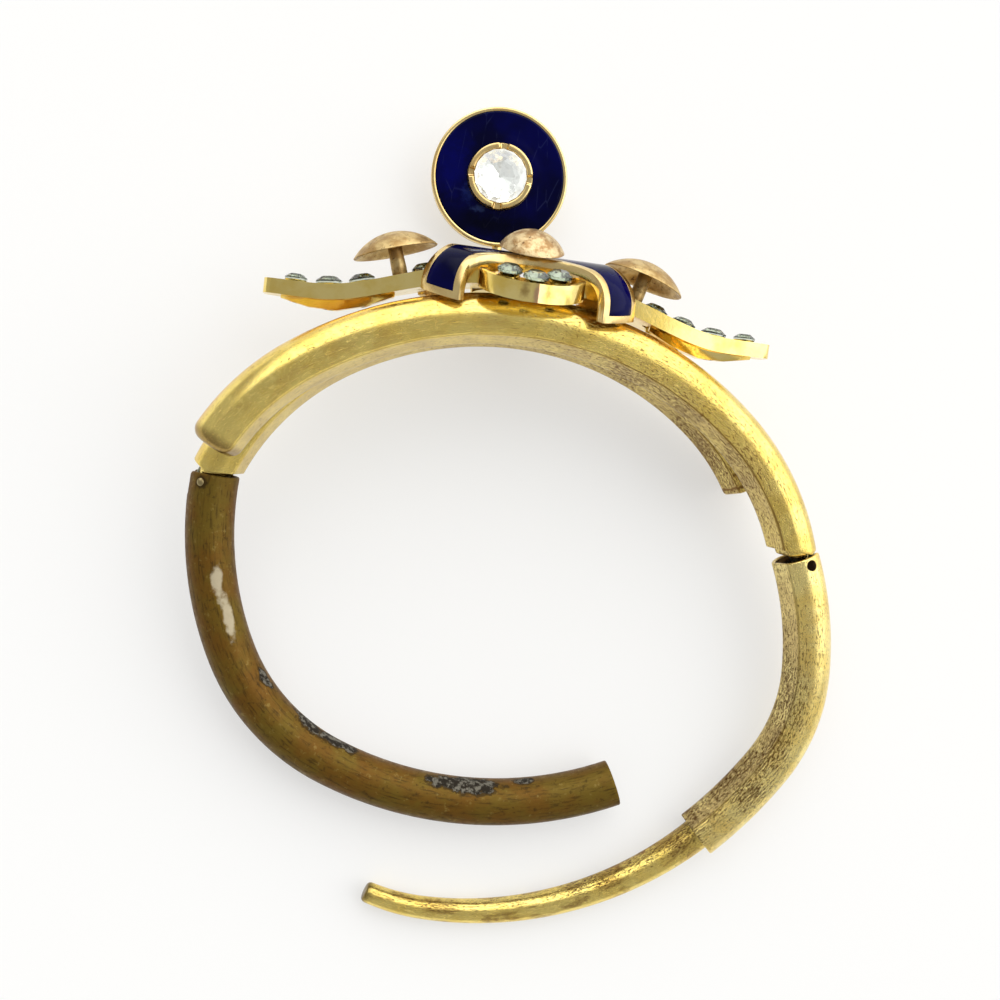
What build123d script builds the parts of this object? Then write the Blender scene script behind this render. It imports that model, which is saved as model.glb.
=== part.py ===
# Hinged bangle: two slanting tubes under a flower of gold leaves, enamel, domes and stones
# Units are millimetres. The band is drawn flat: X across the wrist from hinge to hinge,
# Y towards the ornament, Z along the forearm. It is laid on its rest when it is exported.

import os
from math import asin, atan2, cos, degrees, pi, radians, sin, sqrt, tan

from build123d import *

os.makedirs("parts", exist_ok=True)

# Hinge pivots, at equal distances from the middle plane
pivot_x = 32.7
pivot_y = 4.8
front_joint = 1.15
arm_joint = 0.85

# Tube section: a round with its inner side flattened
tube_radius = 2.6
flat_offset = 2.3
tube_wall = 0.45
tube_slant = 4.8
bore_radius = tube_radius - tube_wall
bore_flat = flat_offset - tube_wall

# Near tube, from the right hinge to its closed end on the left
tube_start_y = 5.2
near_start_x = 31.2
near_heading = 109.5
near_first_bend = 27.6
near_first_turn = 32.2
near_top_bend = 38.1
near_top_turn = 75.7
near_last_bend = 24.0
near_last_turn = 23.0
near_cap = 1.2

# Far tube, from the left hinge to its closed end on the right
far_start_x = 31.85
far_heading = 72.6
far_first_bend = 27.4
far_first_turn = 39.0
far_top_bend = 35.7
far_top_turn = 71.4
far_last_bend = 25.5
far_last_turn = 18.6
far_cap = 1.2

# Arms, drawn closed; each lead is the straight bit under the hinge
arm_axis_x = 31.7
arm_lead = 0.45
arm_end_round = 0.6
left_arm_radius = 2.5
left_bore_radius = left_arm_radius - tube_wall
left_heading = 267.5
left_first_bend = 35.9
left_first_turn = 30.0
left_low_bend = 22.3
left_low_turn = 40.6
left_last_bend = 39.0
left_last_turn = 47.5
right_heading = 264.9
right_first_bend = 35.4
right_first_turn = 20.9
right_low_bend = 18.3
right_low_turn = 36.0
right_last_bend = 47.2
right_last_turn = 12.5
right_arm_open = 20.3

# Clasp tongue
tongue_root_radius = 1.8
tongue_tip_radius = 1.1
tongue_hook_turn = 20.0
tongue_sink = 2.2
plug_length = 1.0
fit_gap = 0.03

# Hinges
pin_radius = 0.45
pin_play = 0.06
pin_grip = 0.02
knuckle_radius = 1.12
knuckle_thickness = 1.5
knuckle_reach = 3.9
knuckle_root_radius = 1.7
slot_play = 0.2
slot_depth = 1.5
chamfer_angle = 32.0
chamfer_inset = 0.2

# Ornament placing
flower_x = -2.5
flower_y = 28.55
flower_roll = 1.4

# Leaves
rim_wall = 0.6
channel_depth = 0.55
leaf_mean = 0.4
leaf_wave = 2.05
leaf_swell = 1.3
leaf_flat_from = 22.0
long_half = 26.8
long_width = 3.75
long_tip_width = 1.6
long_wall = 1.85
long_tip_wall = 1.5
tip_round = 1.0
short_half = 10.2
short_width = 5.4
short_waist = 3.6
short_broadest = 5.0
short_tip_width = 0.25
short_flute_x = 1.5
short_flute_z = 9.45
inner_tip_width = 0.3
inner_half = short_half - 1.75 * rim_wall
inner_flute_x = short_flute_x + 1.5 * rim_wall
inner_flute_z = short_flute_z - 2 * rim_wall
inner_width = short_width - rim_wall
inner_waist = short_waist - rim_wall
short_step = 0.15
short_fall = 1.85
short_swell = 1.6
short_wall = 1.85
keel_half = 3.0
keel_width = 3.6
keel_drop = 1.6
keel_sink = 1.2
keel_gap = 0.05
belly_from = 13.5
belly_to = 25.0
belly_drop = 1.0
belly_breadth = 2.45
belly_flat = 0.38
belly_taper = 0.48
belly_start_share = 0.12
belly_end_share = 0.92

# Stones; the rows hold distances from the flower's middle along a long leaf, or across and along a short one
stone_radius = 1.36
tip_stone_radius = 1.15
petal_stone_radius = 1.3
table_share = 0.56
crown_share = 0.32
girdle_share = 0.1
pavilion_share = 0.8
culet_share = 0.08
stone_lift = 0.15
seat_gap = 0.03
collar_share = 0.85
collar_drop = 0.15
collar_root = 0.25
drill_share = 0.45
west_stones = (10.6, 16.9, 20.3, 23.7)
east_stones = (14.0, 17.2, 20.7, 24.2)
petal_stones = ((-2.5, 6.2), (0, 7.6), (2.5, 6.2))

# Saddle
saddle_top = 4.4
saddle_crown = 10.0
saddle_length = 12.5
saddle_depth = 8.5
saddle_bend = 4.4
saddle_thickness = 0.8
saddle_waist_x = 8.1
saddle_waist_z = 3.5
side_notch_radius = 4.15
end_notch_radius = 9.5
foot_peak = 28.6
foot_fall = 0.3
saddle_rim = 0.7
enamel_depth = 0.35
enamel_gap = 0.03

# Domes
dome_radius = 4.4
dome_height = 2.0
dome_wall = 0.35
dome_rise = 3.15
west_post_x = 13.1
east_post_x = 11.6
post_radius = 0.8
small_dome_radius = 3.35
small_dome_height = 1.9
small_dome_x = -0.1
small_post_z = 2.1
small_dome_lean = 16.0
small_dome_lift = 0.61
small_post_radius = 0.6

# Disc
disc_radius = 7.55
disc_thickness = 1.2
disc_rim = 0.45
disc_x = -3.48
disc_y = 13.34
disc_z = -8.0
bezel_radius = 3.55
bezel_height = 1.0
bezel_wall = 0.6
notch_width = 1.0
notch_depth = 0.5
crystal_gap = 0.05
crystal_depth = 0.7
crystal_crown = 0.65
crystal_table = 1.5
stalk_radius = 0.55
stalk_x = -2.8
stalk_z = -8.25
post_gap = 0.03

# Resting attitude, found from the points that touch the floor
rest_pitch = 7.69
rest_roll = 0.45

roll = radians(flower_roll)
flower_centre = (flower_x, flower_y, 0)
flower_across = (cos(roll), sin(roll), 0)
flower_out = (-sin(roll), cos(roll), 0)
flower_face = Plane(flower_centre, flower_across, (0, 0, 1))
flower_plan = Plane(flower_centre, flower_across, (sin(roll), -cos(roll), 0))
flower_end = Plane(flower_centre, flower_out, flower_across)
near_plane = Plane((pivot_x, 0, 0), (cos(radians(tube_slant)), 0, -sin(radians(tube_slant))),
                   (sin(radians(tube_slant)), 0, cos(radians(tube_slant))))
far_plane = Plane((-pivot_x, 0, 0), (cos(radians(tube_slant)), 0, -sin(radians(tube_slant))),
                  (sin(radians(tube_slant)), 0, cos(radians(tube_slant))))


def d_section(radius, flat, side):
    """Round of the given radius, cut flat on the side of the wrist."""
    Circle(radius)
    with Locations((0, side * (flat + radius))):
        Rectangle(4 * radius, 2 * radius, mode=Mode.SUBTRACT)


def joint_cut(side):
    """Region below the mitred hinge end of a front tube."""
    reach = 4 * tube_radius
    face = pivot_y + front_joint
    corner = pivot_x - chamfer_inset
    rise = reach * tan(radians(chamfer_angle))
    Polygon((side * (pivot_x - reach), face - reach), (side * (pivot_x - reach), face),
            (side * corner, face), (side * (corner + reach), face + rise),
            (side * (corner + reach), face - reach), align=None)


def knuckle_outline(side):
    """Tab that runs from the pin up into the hollow end of a front tube."""
    with Locations((side * pivot_x, pivot_y)):
        Circle(knuckle_radius)
    with Locations((side * (near_start_x - 0.9), pivot_y + knuckle_reach)):
        Circle(knuckle_root_radius)
    make_hull()


def leaf_top(x):
    """Height of a long leaf's upper edge at the distance x from the middle."""
    share = min(abs(x) / leaf_flat_from, 1) ** leaf_swell
    return leaf_mean + leaf_wave * cos(pi * share)


def leaf_slope(x):
    """Rise of the leaf's upper edge in degrees at x."""
    step = 0.01
    return degrees(atan2(leaf_top(x + step) - leaf_top(x - step), 2 * step))


def leaf_wall(x):
    """Height of a long leaf's side wall at x."""
    return long_wall + (long_tip_wall - long_wall) * abs(x) / long_half


def short_top(z):
    """Height of a short leaf's upper edge at the distance z from the middle."""
    share = min(abs(z) / short_half, 1) ** short_swell
    return leaf_mean + leaf_wave - short_step - short_fall * (1 - cos(pi * share)) / 2


# Near tube with its knuckle
with BuildLine(near_plane) as near_route:
    start_heading = (cos(radians(near_heading)), sin(radians(near_heading)))
    first = JernArc((near_start_x - pivot_x, tube_start_y), start_heading, near_first_bend, near_first_turn)
    second = JernArc(first @ 1, first % 1, near_top_bend, near_top_turn)
    third = JernArc(second @ 1, second % 1, near_last_bend, near_last_turn)
near_wire = near_route.wires()[0]
with BuildPart() as near_tube:
    with BuildSketch(Plane(near_wire @ 0, near_plane.z_dir, near_wire % 0)):
        d_section(tube_radius, flat_offset, -1)
    sweep(path=near_wire)
    with BuildSketch(Plane(near_wire @ 0, near_plane.z_dir, near_wire % 0)):
        d_section(bore_radius, bore_flat, -1)
    sweep(path=near_wire, mode=Mode.SUBTRACT)
    with BuildSketch(Plane(near_wire @ 1, near_plane.z_dir, near_wire % 1)):
        d_section(bore_radius + tube_wall / 2, bore_flat + tube_wall / 2, -1)
    extrude(amount=-near_cap)
    with BuildSketch(Plane.XY):
        joint_cut(1)
    extrude(amount=2 * tube_radius, both=True, mode=Mode.SUBTRACT)
    with BuildSketch(Plane.XY):
        knuckle_outline(1)
    extrude(amount=knuckle_thickness / 2, both=True)
    with BuildSketch(Plane.XY):
        with Locations((pivot_x, pivot_y)):
            Circle(pin_radius + pin_play)
    extrude(amount=tube_radius, both=True, mode=Mode.SUBTRACT)

# Far tube with its knuckle
with BuildLine(far_plane) as far_route:
    start_heading = (cos(radians(far_heading)), sin(radians(far_heading)))
    first = JernArc((pivot_x - far_start_x, tube_start_y), start_heading, far_first_bend, -far_first_turn)
    second = JernArc(first @ 1, first % 1, far_top_bend, -far_top_turn)
    third = JernArc(second @ 1, second % 1, far_last_bend, -far_last_turn)
far_wire = far_route.wires()[0]
with BuildPart() as far_tube:
    with BuildSketch(Plane(far_wire @ 0, far_plane.z_dir, far_wire % 0)):
        d_section(tube_radius, flat_offset, 1)
    sweep(path=far_wire)
    with BuildSketch(Plane(far_wire @ 0, far_plane.z_dir, far_wire % 0)):
        d_section(bore_radius, bore_flat, 1)
    sweep(path=far_wire, mode=Mode.SUBTRACT)
    with BuildSketch(Plane(far_wire @ 1, far_plane.z_dir, far_wire % 1)):
        d_section(bore_radius + tube_wall / 2, bore_flat + tube_wall / 2, 1)
    extrude(amount=-far_cap)
    with BuildSketch(Plane.XY):
        joint_cut(-1)
    extrude(amount=2 * tube_radius, both=True, mode=Mode.SUBTRACT)
    with BuildSketch(Plane.XY):
        knuckle_outline(-1)
    extrude(amount=knuckle_thickness / 2, both=True)
    with BuildSketch(Plane.XY):
        with Locations((-pivot_x, pivot_y)):
            Circle(pin_radius + pin_play)
    extrude(amount=tube_radius, both=True, mode=Mode.SUBTRACT)

# Left arm: a round tube with an open mouth
arm_top = pivot_y + arm_joint
with BuildLine() as left_route:
    lead = PolarLine((-arm_axis_x, arm_top), arm_lead, left_heading)
    first = JernArc(lead @ 1, lead % 1, left_first_bend, left_first_turn)
    second = JernArc(first @ 1, first % 1, left_low_bend, left_low_turn)
    third = JernArc(second @ 1, second % 1, left_last_bend, left_last_turn)
left_wire = left_route.wires()[0]
left_mouth = third @ 1
left_mouth_heading = third % 1
with BuildPart() as left_arm:
    with BuildSketch(Plane(left_wire @ 0, (0, 0, 1), left_wire % 0)):
        Circle(left_arm_radius)
        Circle(left_bore_radius, mode=Mode.SUBTRACT)
    sweep(path=left_wire)
    with BuildSketch(Plane.XY):
        with Locations((-arm_axis_x - left_arm_radius, arm_top)):
            Rectangle(2 * arm_end_round, 2 * arm_end_round)
        with Locations((-arm_axis_x - left_arm_radius + arm_end_round, arm_top - arm_end_round)):
            Circle(arm_end_round, mode=Mode.SUBTRACT)
    extrude(amount=tube_radius, both=True, mode=Mode.SUBTRACT)
    with BuildSketch(Plane.XY):
        with Locations((-pivot_x - tube_radius, pivot_y)):
            Rectangle(2 * tube_radius, 2 * slot_depth)
    extrude(amount=knuckle_thickness / 2 + slot_play, both=True, mode=Mode.SUBTRACT)
    with BuildSketch(Plane.XY):
        with Locations((-pivot_x, pivot_y)):
            Circle(pin_radius + pin_grip)
    extrude(amount=tube_radius, both=True, mode=Mode.SUBTRACT)

# Right arm: flat inside, a plug closes it where the clasp tongue is set
with BuildLine() as right_route:
    lead = PolarLine((arm_axis_x, arm_top), arm_lead, 180 - right_heading)
    first = JernArc(lead @ 1, lead % 1, right_first_bend, -right_first_turn)
    second = JernArc(first @ 1, first % 1, right_low_bend, -right_low_turn)
    third = JernArc(second @ 1, second % 1, right_last_bend, -right_last_turn)
right_wire = right_route.wires()[0]
shoulder = third @ 1
shoulder_heading = third % 1
shoulder_plane = Plane(shoulder, (0, 0, 1), shoulder_heading)
with BuildPart() as right_arm:
    with BuildSketch(Plane(right_wire @ 0, (0, 0, 1), right_wire % 0)):
        d_section(tube_radius, flat_offset, 1)
    sweep(path=right_wire)
    with BuildSketch(Plane(right_wire @ 0, (0, 0, 1), right_wire % 0)):
        d_section(bore_radius, bore_flat, 1)
    sweep(path=right_wire, mode=Mode.SUBTRACT)
    with BuildSketch(shoulder_plane.offset(-tongue_sink)):
        d_section(bore_radius + tube_wall / 2, bore_flat + tube_wall / 2, 1)
    extrude(amount=-plug_length)
    with BuildSketch(Plane.XY):
        with Locations((arm_axis_x + tube_radius, arm_top)):
            Rectangle(2 * arm_end_round, 2 * arm_end_round)
        with Locations((arm_axis_x + tube_radius - arm_end_round, arm_top - arm_end_round)):
            Circle(arm_end_round, mode=Mode.SUBTRACT)
    extrude(amount=tube_radius, both=True, mode=Mode.SUBTRACT)
    with BuildSketch(Plane.XY):
        with Locations((pivot_x + tube_radius, pivot_y)):
            Rectangle(2 * tube_radius, 2 * slot_depth)
    extrude(amount=knuckle_thickness / 2 + slot_play, both=True, mode=Mode.SUBTRACT)
    with BuildSketch(Plane.XY):
        with Locations((pivot_x, pivot_y)):
            Circle(pin_radius + pin_grip)
    extrude(amount=tube_radius, both=True, mode=Mode.SUBTRACT)

# Clasp tongue, running on from the shoulder as the left arm's bore does
with BuildLine() as tongue_route:
    lead = PolarLine(shoulder - shoulder_heading * tongue_sink, tongue_sink,
                     180 + degrees(atan2(shoulder_heading.Y, shoulder_heading.X)) - 180)
    first = JernArc(lead @ 1, lead % 1, left_last_bend, -left_last_turn)
    second = JernArc(first @ 1, first % 1, left_low_bend, -tongue_hook_turn)
tongue_wire = tongue_route.wires()[0]
with BuildPart() as clasp_tongue:
    with BuildSketch(Plane(tongue_wire @ 0, (0, 0, 1), tongue_wire % 0)):
        Circle(tongue_root_radius)
    with BuildSketch(Plane(tongue_wire @ 1, (0, 0, 1), tongue_wire % 1)):
        Circle(tongue_tip_radius)
    sweep(path=tongue_wire, multisection=True)
    tip = clasp_tongue.faces().sort_by(Axis.X)[0]
    fillet(tip.edges(), tongue_tip_radius * 0.9)

# Hinge pins, riveted in the arms' walls and free in the knuckles
pin_half = sqrt(tube_radius ** 2 - (pivot_x - arm_axis_x) ** 2)
with BuildPart() as hinge_pin:
    with BuildSketch(Plane.XY):
        Circle(pin_radius)
    extrude(amount=pin_half, both=True)
    chamfer(hinge_pin.edges().filter_by(GeomType.CIRCLE), pin_radius / 4)

# Seats of the two tubes, a little larger than the tubes
with BuildPart() as near_seat:
    with BuildSketch(Plane(near_wire @ 0, near_plane.z_dir, near_wire % 0)):
        Circle(tube_radius + keel_gap)
    sweep(path=near_wire)
with BuildPart() as far_seat:
    with BuildSketch(Plane(far_wire @ 0, far_plane.z_dir, far_wire % 0)):
        Circle(tube_radius + keel_gap)
    sweep(path=far_wire)

# Long leaf, its side view cut out of its plan
leaf_steps = 16
long_xs = [long_half * (2 * i / leaf_steps - 1) for i in range(leaf_steps + 1)]
with BuildPart() as long_leaf:
    with BuildSketch(flower_plan) as long_outline:
        with BuildLine():
            upper = ThreePointArc((-long_half, long_tip_width), (0, long_width),
                                  (long_half, long_tip_width))
            lower = ThreePointArc((-long_half, -long_tip_width), (0, -long_width),
                                  (long_half, -long_tip_width))
            Line(upper @ 0, lower @ 0)
            Line(upper @ 1, lower @ 1)
        make_face()
        fillet(long_outline.vertices(), tip_round)
    extrude(amount=2 * long_wall + leaf_wave, both=True)
    with BuildSketch(flower_face):
        with BuildLine():
            crest = Spline(*[(x, leaf_top(x)) for x in long_xs])
            foot = Spline(*[(x, leaf_top(x) - leaf_wall(x)) for x in long_xs])
            Line(crest @ 0, foot @ 0)
            Line(crest @ 1, foot @ 1)
        make_face()
    extrude(amount=2 * long_width, both=True, mode=Mode.INTERSECT)
with BuildPart() as long_channel:
    with BuildSketch(flower_plan):
        add(long_outline.sketch_local)
        offset(amount=-rim_wall, mode=Mode.REPLACE)
    extrude(amount=2 * long_wall + leaf_wave, both=True)
    with BuildSketch(flower_face):
        with BuildLine():
            crest = Spline(*[(x, leaf_top(x) + long_wall) for x in long_xs])
            foot = Spline(*[(x, leaf_top(x) - channel_depth) for x in long_xs])
            Line(crest @ 0, foot @ 0)
            Line(crest @ 1, foot @ 1)
        make_face()
    extrude(amount=2 * long_width, both=True, mode=Mode.INTERSECT)

# Short leaves, one towards each side of the arm
short_steps = 8
short_zs = [short_half * (2 * i / short_steps - 1) for i in range(short_steps + 1)]
with BuildPart() as short_leaf:
    with BuildSketch(flower_plan) as short_outline:
        with BuildLine():
            east = Spline((short_tip_width, -short_half), (short_flute_x, -short_flute_z),
                          (short_width, -short_broadest), (short_waist, 0), (short_width, short_broadest),
                          (short_flute_x, short_flute_z), (short_tip_width, short_half))
            west = Spline((-short_tip_width, -short_half), (-short_flute_x, -short_flute_z),
                          (-short_width, -short_broadest), (-short_waist, 0), (-short_width, short_broadest),
                          (-short_flute_x, short_flute_z), (-short_tip_width, short_half))
            Line(east @ 0, west @ 0)
            Line(east @ 1, west @ 1)
        make_face()
    extrude(amount=2 * short_wall + leaf_wave, both=True)
    with BuildSketch(flower_end):
        with BuildLine():
            crest = Spline(*[(short_top(z), z) for z in short_zs])
            foot = Spline(*[(short_top(z) - short_wall, z) for z in short_zs])
            Line(crest @ 0, foot @ 0)
            Line(crest @ 1, foot @ 1)
        make_face()
    extrude(amount=2 * short_width, both=True, mode=Mode.INTERSECT)
with BuildPart() as short_channel:
    with BuildSketch(flower_plan):
        with BuildLine():
            east = Spline((inner_tip_width, -inner_half), (inner_flute_x, -inner_flute_z),
                          (inner_width, -short_broadest), (inner_waist, 0), (inner_width, short_broadest),
                          (inner_flute_x, inner_flute_z), (inner_tip_width, inner_half))
            west = Spline((-inner_tip_width, -inner_half), (-inner_flute_x, -inner_flute_z),
                          (-inner_width, -short_broadest), (-inner_waist, 0), (-inner_width, short_broadest),
                          (-inner_flute_x, inner_flute_z), (-inner_tip_width, inner_half))
            Line(east @ 0, west @ 0)
            Line(east @ 1, west @ 1)
        make_face()
    extrude(amount=2 * short_wall + leaf_wave, both=True)
    with BuildSketch(flower_end):
        with BuildLine():
            crest = Spline(*[(short_top(z) + short_wall, z) for z in short_zs])
            foot = Spline(*[(short_top(z) - channel_depth, z) for z in short_zs])
            Line(crest @ 0, foot @ 0)
            Line(crest @ 1, foot @ 1)
        make_face()
    extrude(amount=2 * short_width, both=True, mode=Mode.INTERSECT)


def leaf_frame(x, drop):
    """Plane on the long leaf at x, its normal square to the leaf, sunk by the drop."""
    slope = radians(leaf_slope(x))
    along = flower_face.x_dir * cos(slope) + flower_face.y_dir * sin(slope)
    out = flower_face.y_dir * cos(slope) - flower_face.x_dir * sin(slope)
    centre = flower_face.from_local_coords(Vector(x, leaf_top(x), 0)) - out * drop
    return Plane(centre, along, out)


def petal_frame(x, z, drop):
    """Plane on a short leaf at x and z, its normal square to the leaf, sunk by the drop."""
    slope = atan2(short_top(z + 0.01) - short_top(z - 0.01), 0.02)
    out = flower_face.y_dir * cos(slope) - Vector(0, 0, 1) * sin(slope)
    centre = flower_face.from_local_coords(Vector(x, short_top(z), z)) - out * drop
    return Plane(centre, flower_face.x_dir, out)


# Where each stone sits: name, plane of its girdle, radius
girdle_drop = -stone_lift
stone_seats = []
for number, x in enumerate(west_stones, 1):
    size = tip_stone_radius if x == west_stones[-1] else stone_radius
    stone_seats.append((f"stone_west_{number}", leaf_frame(-x, girdle_drop), size))
for number, x in enumerate(east_stones, 1):
    size = tip_stone_radius if x == east_stones[-1] else stone_radius
    stone_seats.append((f"stone_east_{number}", leaf_frame(x, girdle_drop), size))
for side, word in ((1, "near"), (-1, "far")):
    for number, (x, z) in enumerate(petal_stones, 1):
        seat = petal_frame(x, side * z, girdle_drop)
        stone_seats.append((f"stone_{word}_{number}", seat, petal_stone_radius))

# Bellies: blunt keels under the outer half of each long leaf
belly_steps = 4
bellies = []
for side in (-1, 1):
    with BuildPart() as belly:
        for step in range(belly_steps + 1):
            share = step / belly_steps
            x = side * (belly_from + (belly_to - belly_from) * share)
            breadth = belly_breadth * (1 - belly_taper * share)
            drop = belly_drop * sin(pi * (belly_start_share + (belly_end_share - belly_start_share) * share))
            top = leaf_top(x) - leaf_wall(x) / 2
            low = leaf_top(x) - leaf_wall(x) - drop
            with BuildSketch(flower_end.offset(x)):
                Polygon((top, -breadth), (low, -belly_flat * breadth), (low, belly_flat * breadth),
                        (top, breadth), align=None)
        loft(ruled=True)
    bellies.append(belly.part)

# Petal cross: the leaves, their bellies and the keel that rides on both tubes
with BuildPart() as petal_cross:
    add(long_leaf.part)
    add(short_leaf.part)
    add(bellies)
    with BuildSketch(flower_plan.offset(-keel_sink)):
        Rectangle(2 * keel_half, keel_width)
    extrude(amount=keel_drop + keel_sink)
    add(near_seat.part, mode=Mode.SUBTRACT)
    add(far_seat.part, mode=Mode.SUBTRACT)
    add(long_channel.part, mode=Mode.SUBTRACT)
    add(short_channel.part, mode=Mode.SUBTRACT)
    for name, place, size in stone_seats:
        with BuildSketch(place.offset(-stone_lift - channel_depth - collar_root)):
            Circle(collar_share * size)
        extrude(amount=channel_depth + collar_root - collar_drop)
    for name, place, size in stone_seats:
        with Locations(place.offset(-size * girdle_share / 2)):
            Cone(seat_gap, size + seat_gap, size * pavilion_share + seat_gap,
                 align=(Align.CENTER, Align.CENTER, Align.MAX), mode=Mode.SUBTRACT)
            Cylinder(drill_share * size, 2 * long_wall + belly_drop,
                     align=(Align.CENTER, Align.CENTER, Align.MAX), mode=Mode.SUBTRACT)

# Cuts: an eight-sided cut crossed with one turned by half a side, under a flat table, the girdle on the
# ground plane. Each row gives radius, depth below, height above and table radius
cut_sizes = [(size, size * (pavilion_share + girdle_share / 2), size * crown_share, size * table_share)
             for size in (stone_radius, tip_stone_radius, petal_stone_radius)]
crystal_radius = bezel_radius - bezel_wall - crystal_gap
cut_sizes.append((crystal_radius, crystal_depth, crystal_crown, crystal_table))
cuts = {}
for size, depth, crown, table in cut_sizes:
    edge = girdle_share * min(size, stone_radius) / 2
    culet = culet_share * size
    with BuildPart() as upright_cut:
        for level, reach in ((-depth, culet), (-edge, size), (edge, size), (crown, table)):
            with BuildSketch(Plane.XY.offset(level)):
                RegularPolygon(reach, 8)
        loft(ruled=True)
    with BuildPart() as turned_cut:
        for level, reach in ((-depth, culet), (-edge, size), (edge, size), (crown, (size + table) / 2)):
            with BuildSketch(Plane.XY.offset(level)):
                RegularPolygon(reach, 8, rotation=22.5)
        loft(ruled=True)
    with BuildPart() as crossed_cut:
        add(upright_cut.part)
        add(turned_cut.part, mode=Mode.INTERSECT)
    cuts[size] = crossed_cut.part

stones = []
for name, place, size in stone_seats:
    with BuildPart() as stone:
        with Locations(place):
            add(cuts[size])
    stones.append((name, stone.part))

# Saddle: an oval cap, crowned across and bent down all round, notched to leave four feet
foot_reach = 2 * saddle_depth
with BuildPart() as notches:
    with BuildSketch(flower_plan) as cross_plan:
        Rectangle(3 * saddle_length, 3 * saddle_depth)
        with Locations((saddle_waist_x + side_notch_radius, 0), (-saddle_waist_x - side_notch_radius, 0)):
            Circle(side_notch_radius, mode=Mode.SUBTRACT)
        with Locations((0, saddle_waist_z + end_notch_radius), (0, -saddle_waist_z - end_notch_radius)):
            Circle(end_notch_radius, mode=Mode.SUBTRACT)
    extrude(amount=2 * saddle_top, both=True)
    with BuildSketch(Plane.YZ) as foot_side:
        with BuildLine():
            Polyline((foot_peak, 0), (foot_peak - foot_fall * foot_reach, foot_reach), (0, foot_reach),
                     (0, -foot_reach), (foot_peak - foot_fall * foot_reach, -foot_reach), close=True)
        make_face()
    extrude(amount=2 * pivot_x, both=True, mode=Mode.SUBTRACT)
with BuildPart() as inner_notches:
    with BuildSketch(flower_plan):
        add(cross_plan.sketch_local)
        offset(amount=-saddle_rim, mode=Mode.REPLACE)
    extrude(amount=2 * saddle_top, both=True)
    with BuildSketch(Plane.YZ.offset(-2 * pivot_x)):
        add(foot_side.sketch_local)
        offset(amount=saddle_rim, mode=Mode.REPLACE)
    extrude(amount=4 * pivot_x, mode=Mode.SUBTRACT)

# Caps: outer face, floor of the recess, back of the enamel and inner face
caps = []
for sunk in (0, enamel_depth, enamel_depth - enamel_gap, saddle_thickness):
    with BuildPart() as cap:
        with BuildSketch(flower_plan.offset(2 * saddle_top)):
            Ellipse(saddle_length - sunk, saddle_depth - sunk)
        extrude(amount=-4 * saddle_top)
        with BuildSketch(flower_end):
            with Locations((saddle_top - saddle_crown, 0)):
                Circle(saddle_crown - sunk)
        extrude(amount=2 * saddle_length, both=True, mode=Mode.INTERSECT)
        fillet(cap.faces().sort_by(Axis.Y)[-1].edges(), saddle_bend - sunk)
    caps.append(cap.part)
outer_cap, recess_cap, lining_cap, inner_cap = caps
post_tilt = asin(small_post_z / saddle_crown)
small_post_top = saddle_top - saddle_crown * (1 - cos(post_tilt))
small_post_centre = flower_face.from_local_coords(Vector(small_dome_x, small_post_top, small_post_z))
small_post_plane = Plane(small_post_centre, flower_face.x_dir,
                         flower_face.y_dir * cos(post_tilt) + flower_face.z_dir * sin(post_tilt))
with BuildPart() as recess:
    add(outer_cap)
    add(recess_cap, mode=Mode.SUBTRACT)
    add(inner_notches.part, mode=Mode.INTERSECT)
with BuildPart() as saddle_frame:
    add(outer_cap)
    add(inner_cap, mode=Mode.SUBTRACT)
    add(notches.part, mode=Mode.INTERSECT)
    add(recess.part, mode=Mode.SUBTRACT)
with BuildPart() as saddle_enamel:
    with BuildSketch(flower_plan):
        add(cross_plan.sketch_local)
        offset(amount=-saddle_rim - enamel_gap, mode=Mode.REPLACE)
    extrude(amount=2 * saddle_top, both=True)
    with BuildSketch(Plane.YZ.offset(-2 * pivot_x)):
        add(foot_side.sketch_local)
        offset(amount=saddle_rim + enamel_gap, mode=Mode.REPLACE)
    extrude(amount=4 * pivot_x, mode=Mode.SUBTRACT)
    add(outer_cap, mode=Mode.INTERSECT)
    add(lining_cap, mode=Mode.SUBTRACT)
    with BuildSketch(small_post_plane.offset(-saddle_thickness)):
        Circle(small_post_radius + enamel_gap)
    extrude(amount=2 * saddle_thickness, mode=Mode.SUBTRACT)

# Domes: hollow caps on posts. Each row gives the foot of the post, the rise to the brim, the lean of the
# cap on its post, the cap's radius and height and the post's radius
west_post = leaf_frame(-west_post_x, channel_depth - post_gap)
east_post = leaf_frame(east_post_x, channel_depth - post_gap)
small_post = small_post_plane.offset(post_gap - enamel_depth)
dome_rows = (
    ("dome_west", west_post, dome_rise, 0, dome_radius, dome_height, post_radius),
    ("dome_east", east_post, dome_rise, 0, dome_radius, dome_height, post_radius),
    ("dome_near", small_post, small_dome_lift + enamel_depth, small_dome_lean, small_dome_radius,
     small_dome_height, small_post_radius),
)
domes = []
for name, foot, rise, lean, radius, height, stem in dome_rows:
    ball = (radius ** 2 + height ** 2) / (2 * height)
    brim = foot.offset(rise).rotated((lean, 0, 0))
    with BuildPart() as dome:
        with Locations(brim.offset(height - ball)):
            Sphere(ball)
            Sphere(ball - dome_wall, mode=Mode.SUBTRACT)
        split(bisect_by=brim, keep=Keep.TOP)
        with Locations(foot):
            Cylinder(stem, rise + height - dome_wall / 2, align=(Align.CENTER, Align.CENTER, Align.MIN))
    domes.append((name, dome.part))

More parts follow.
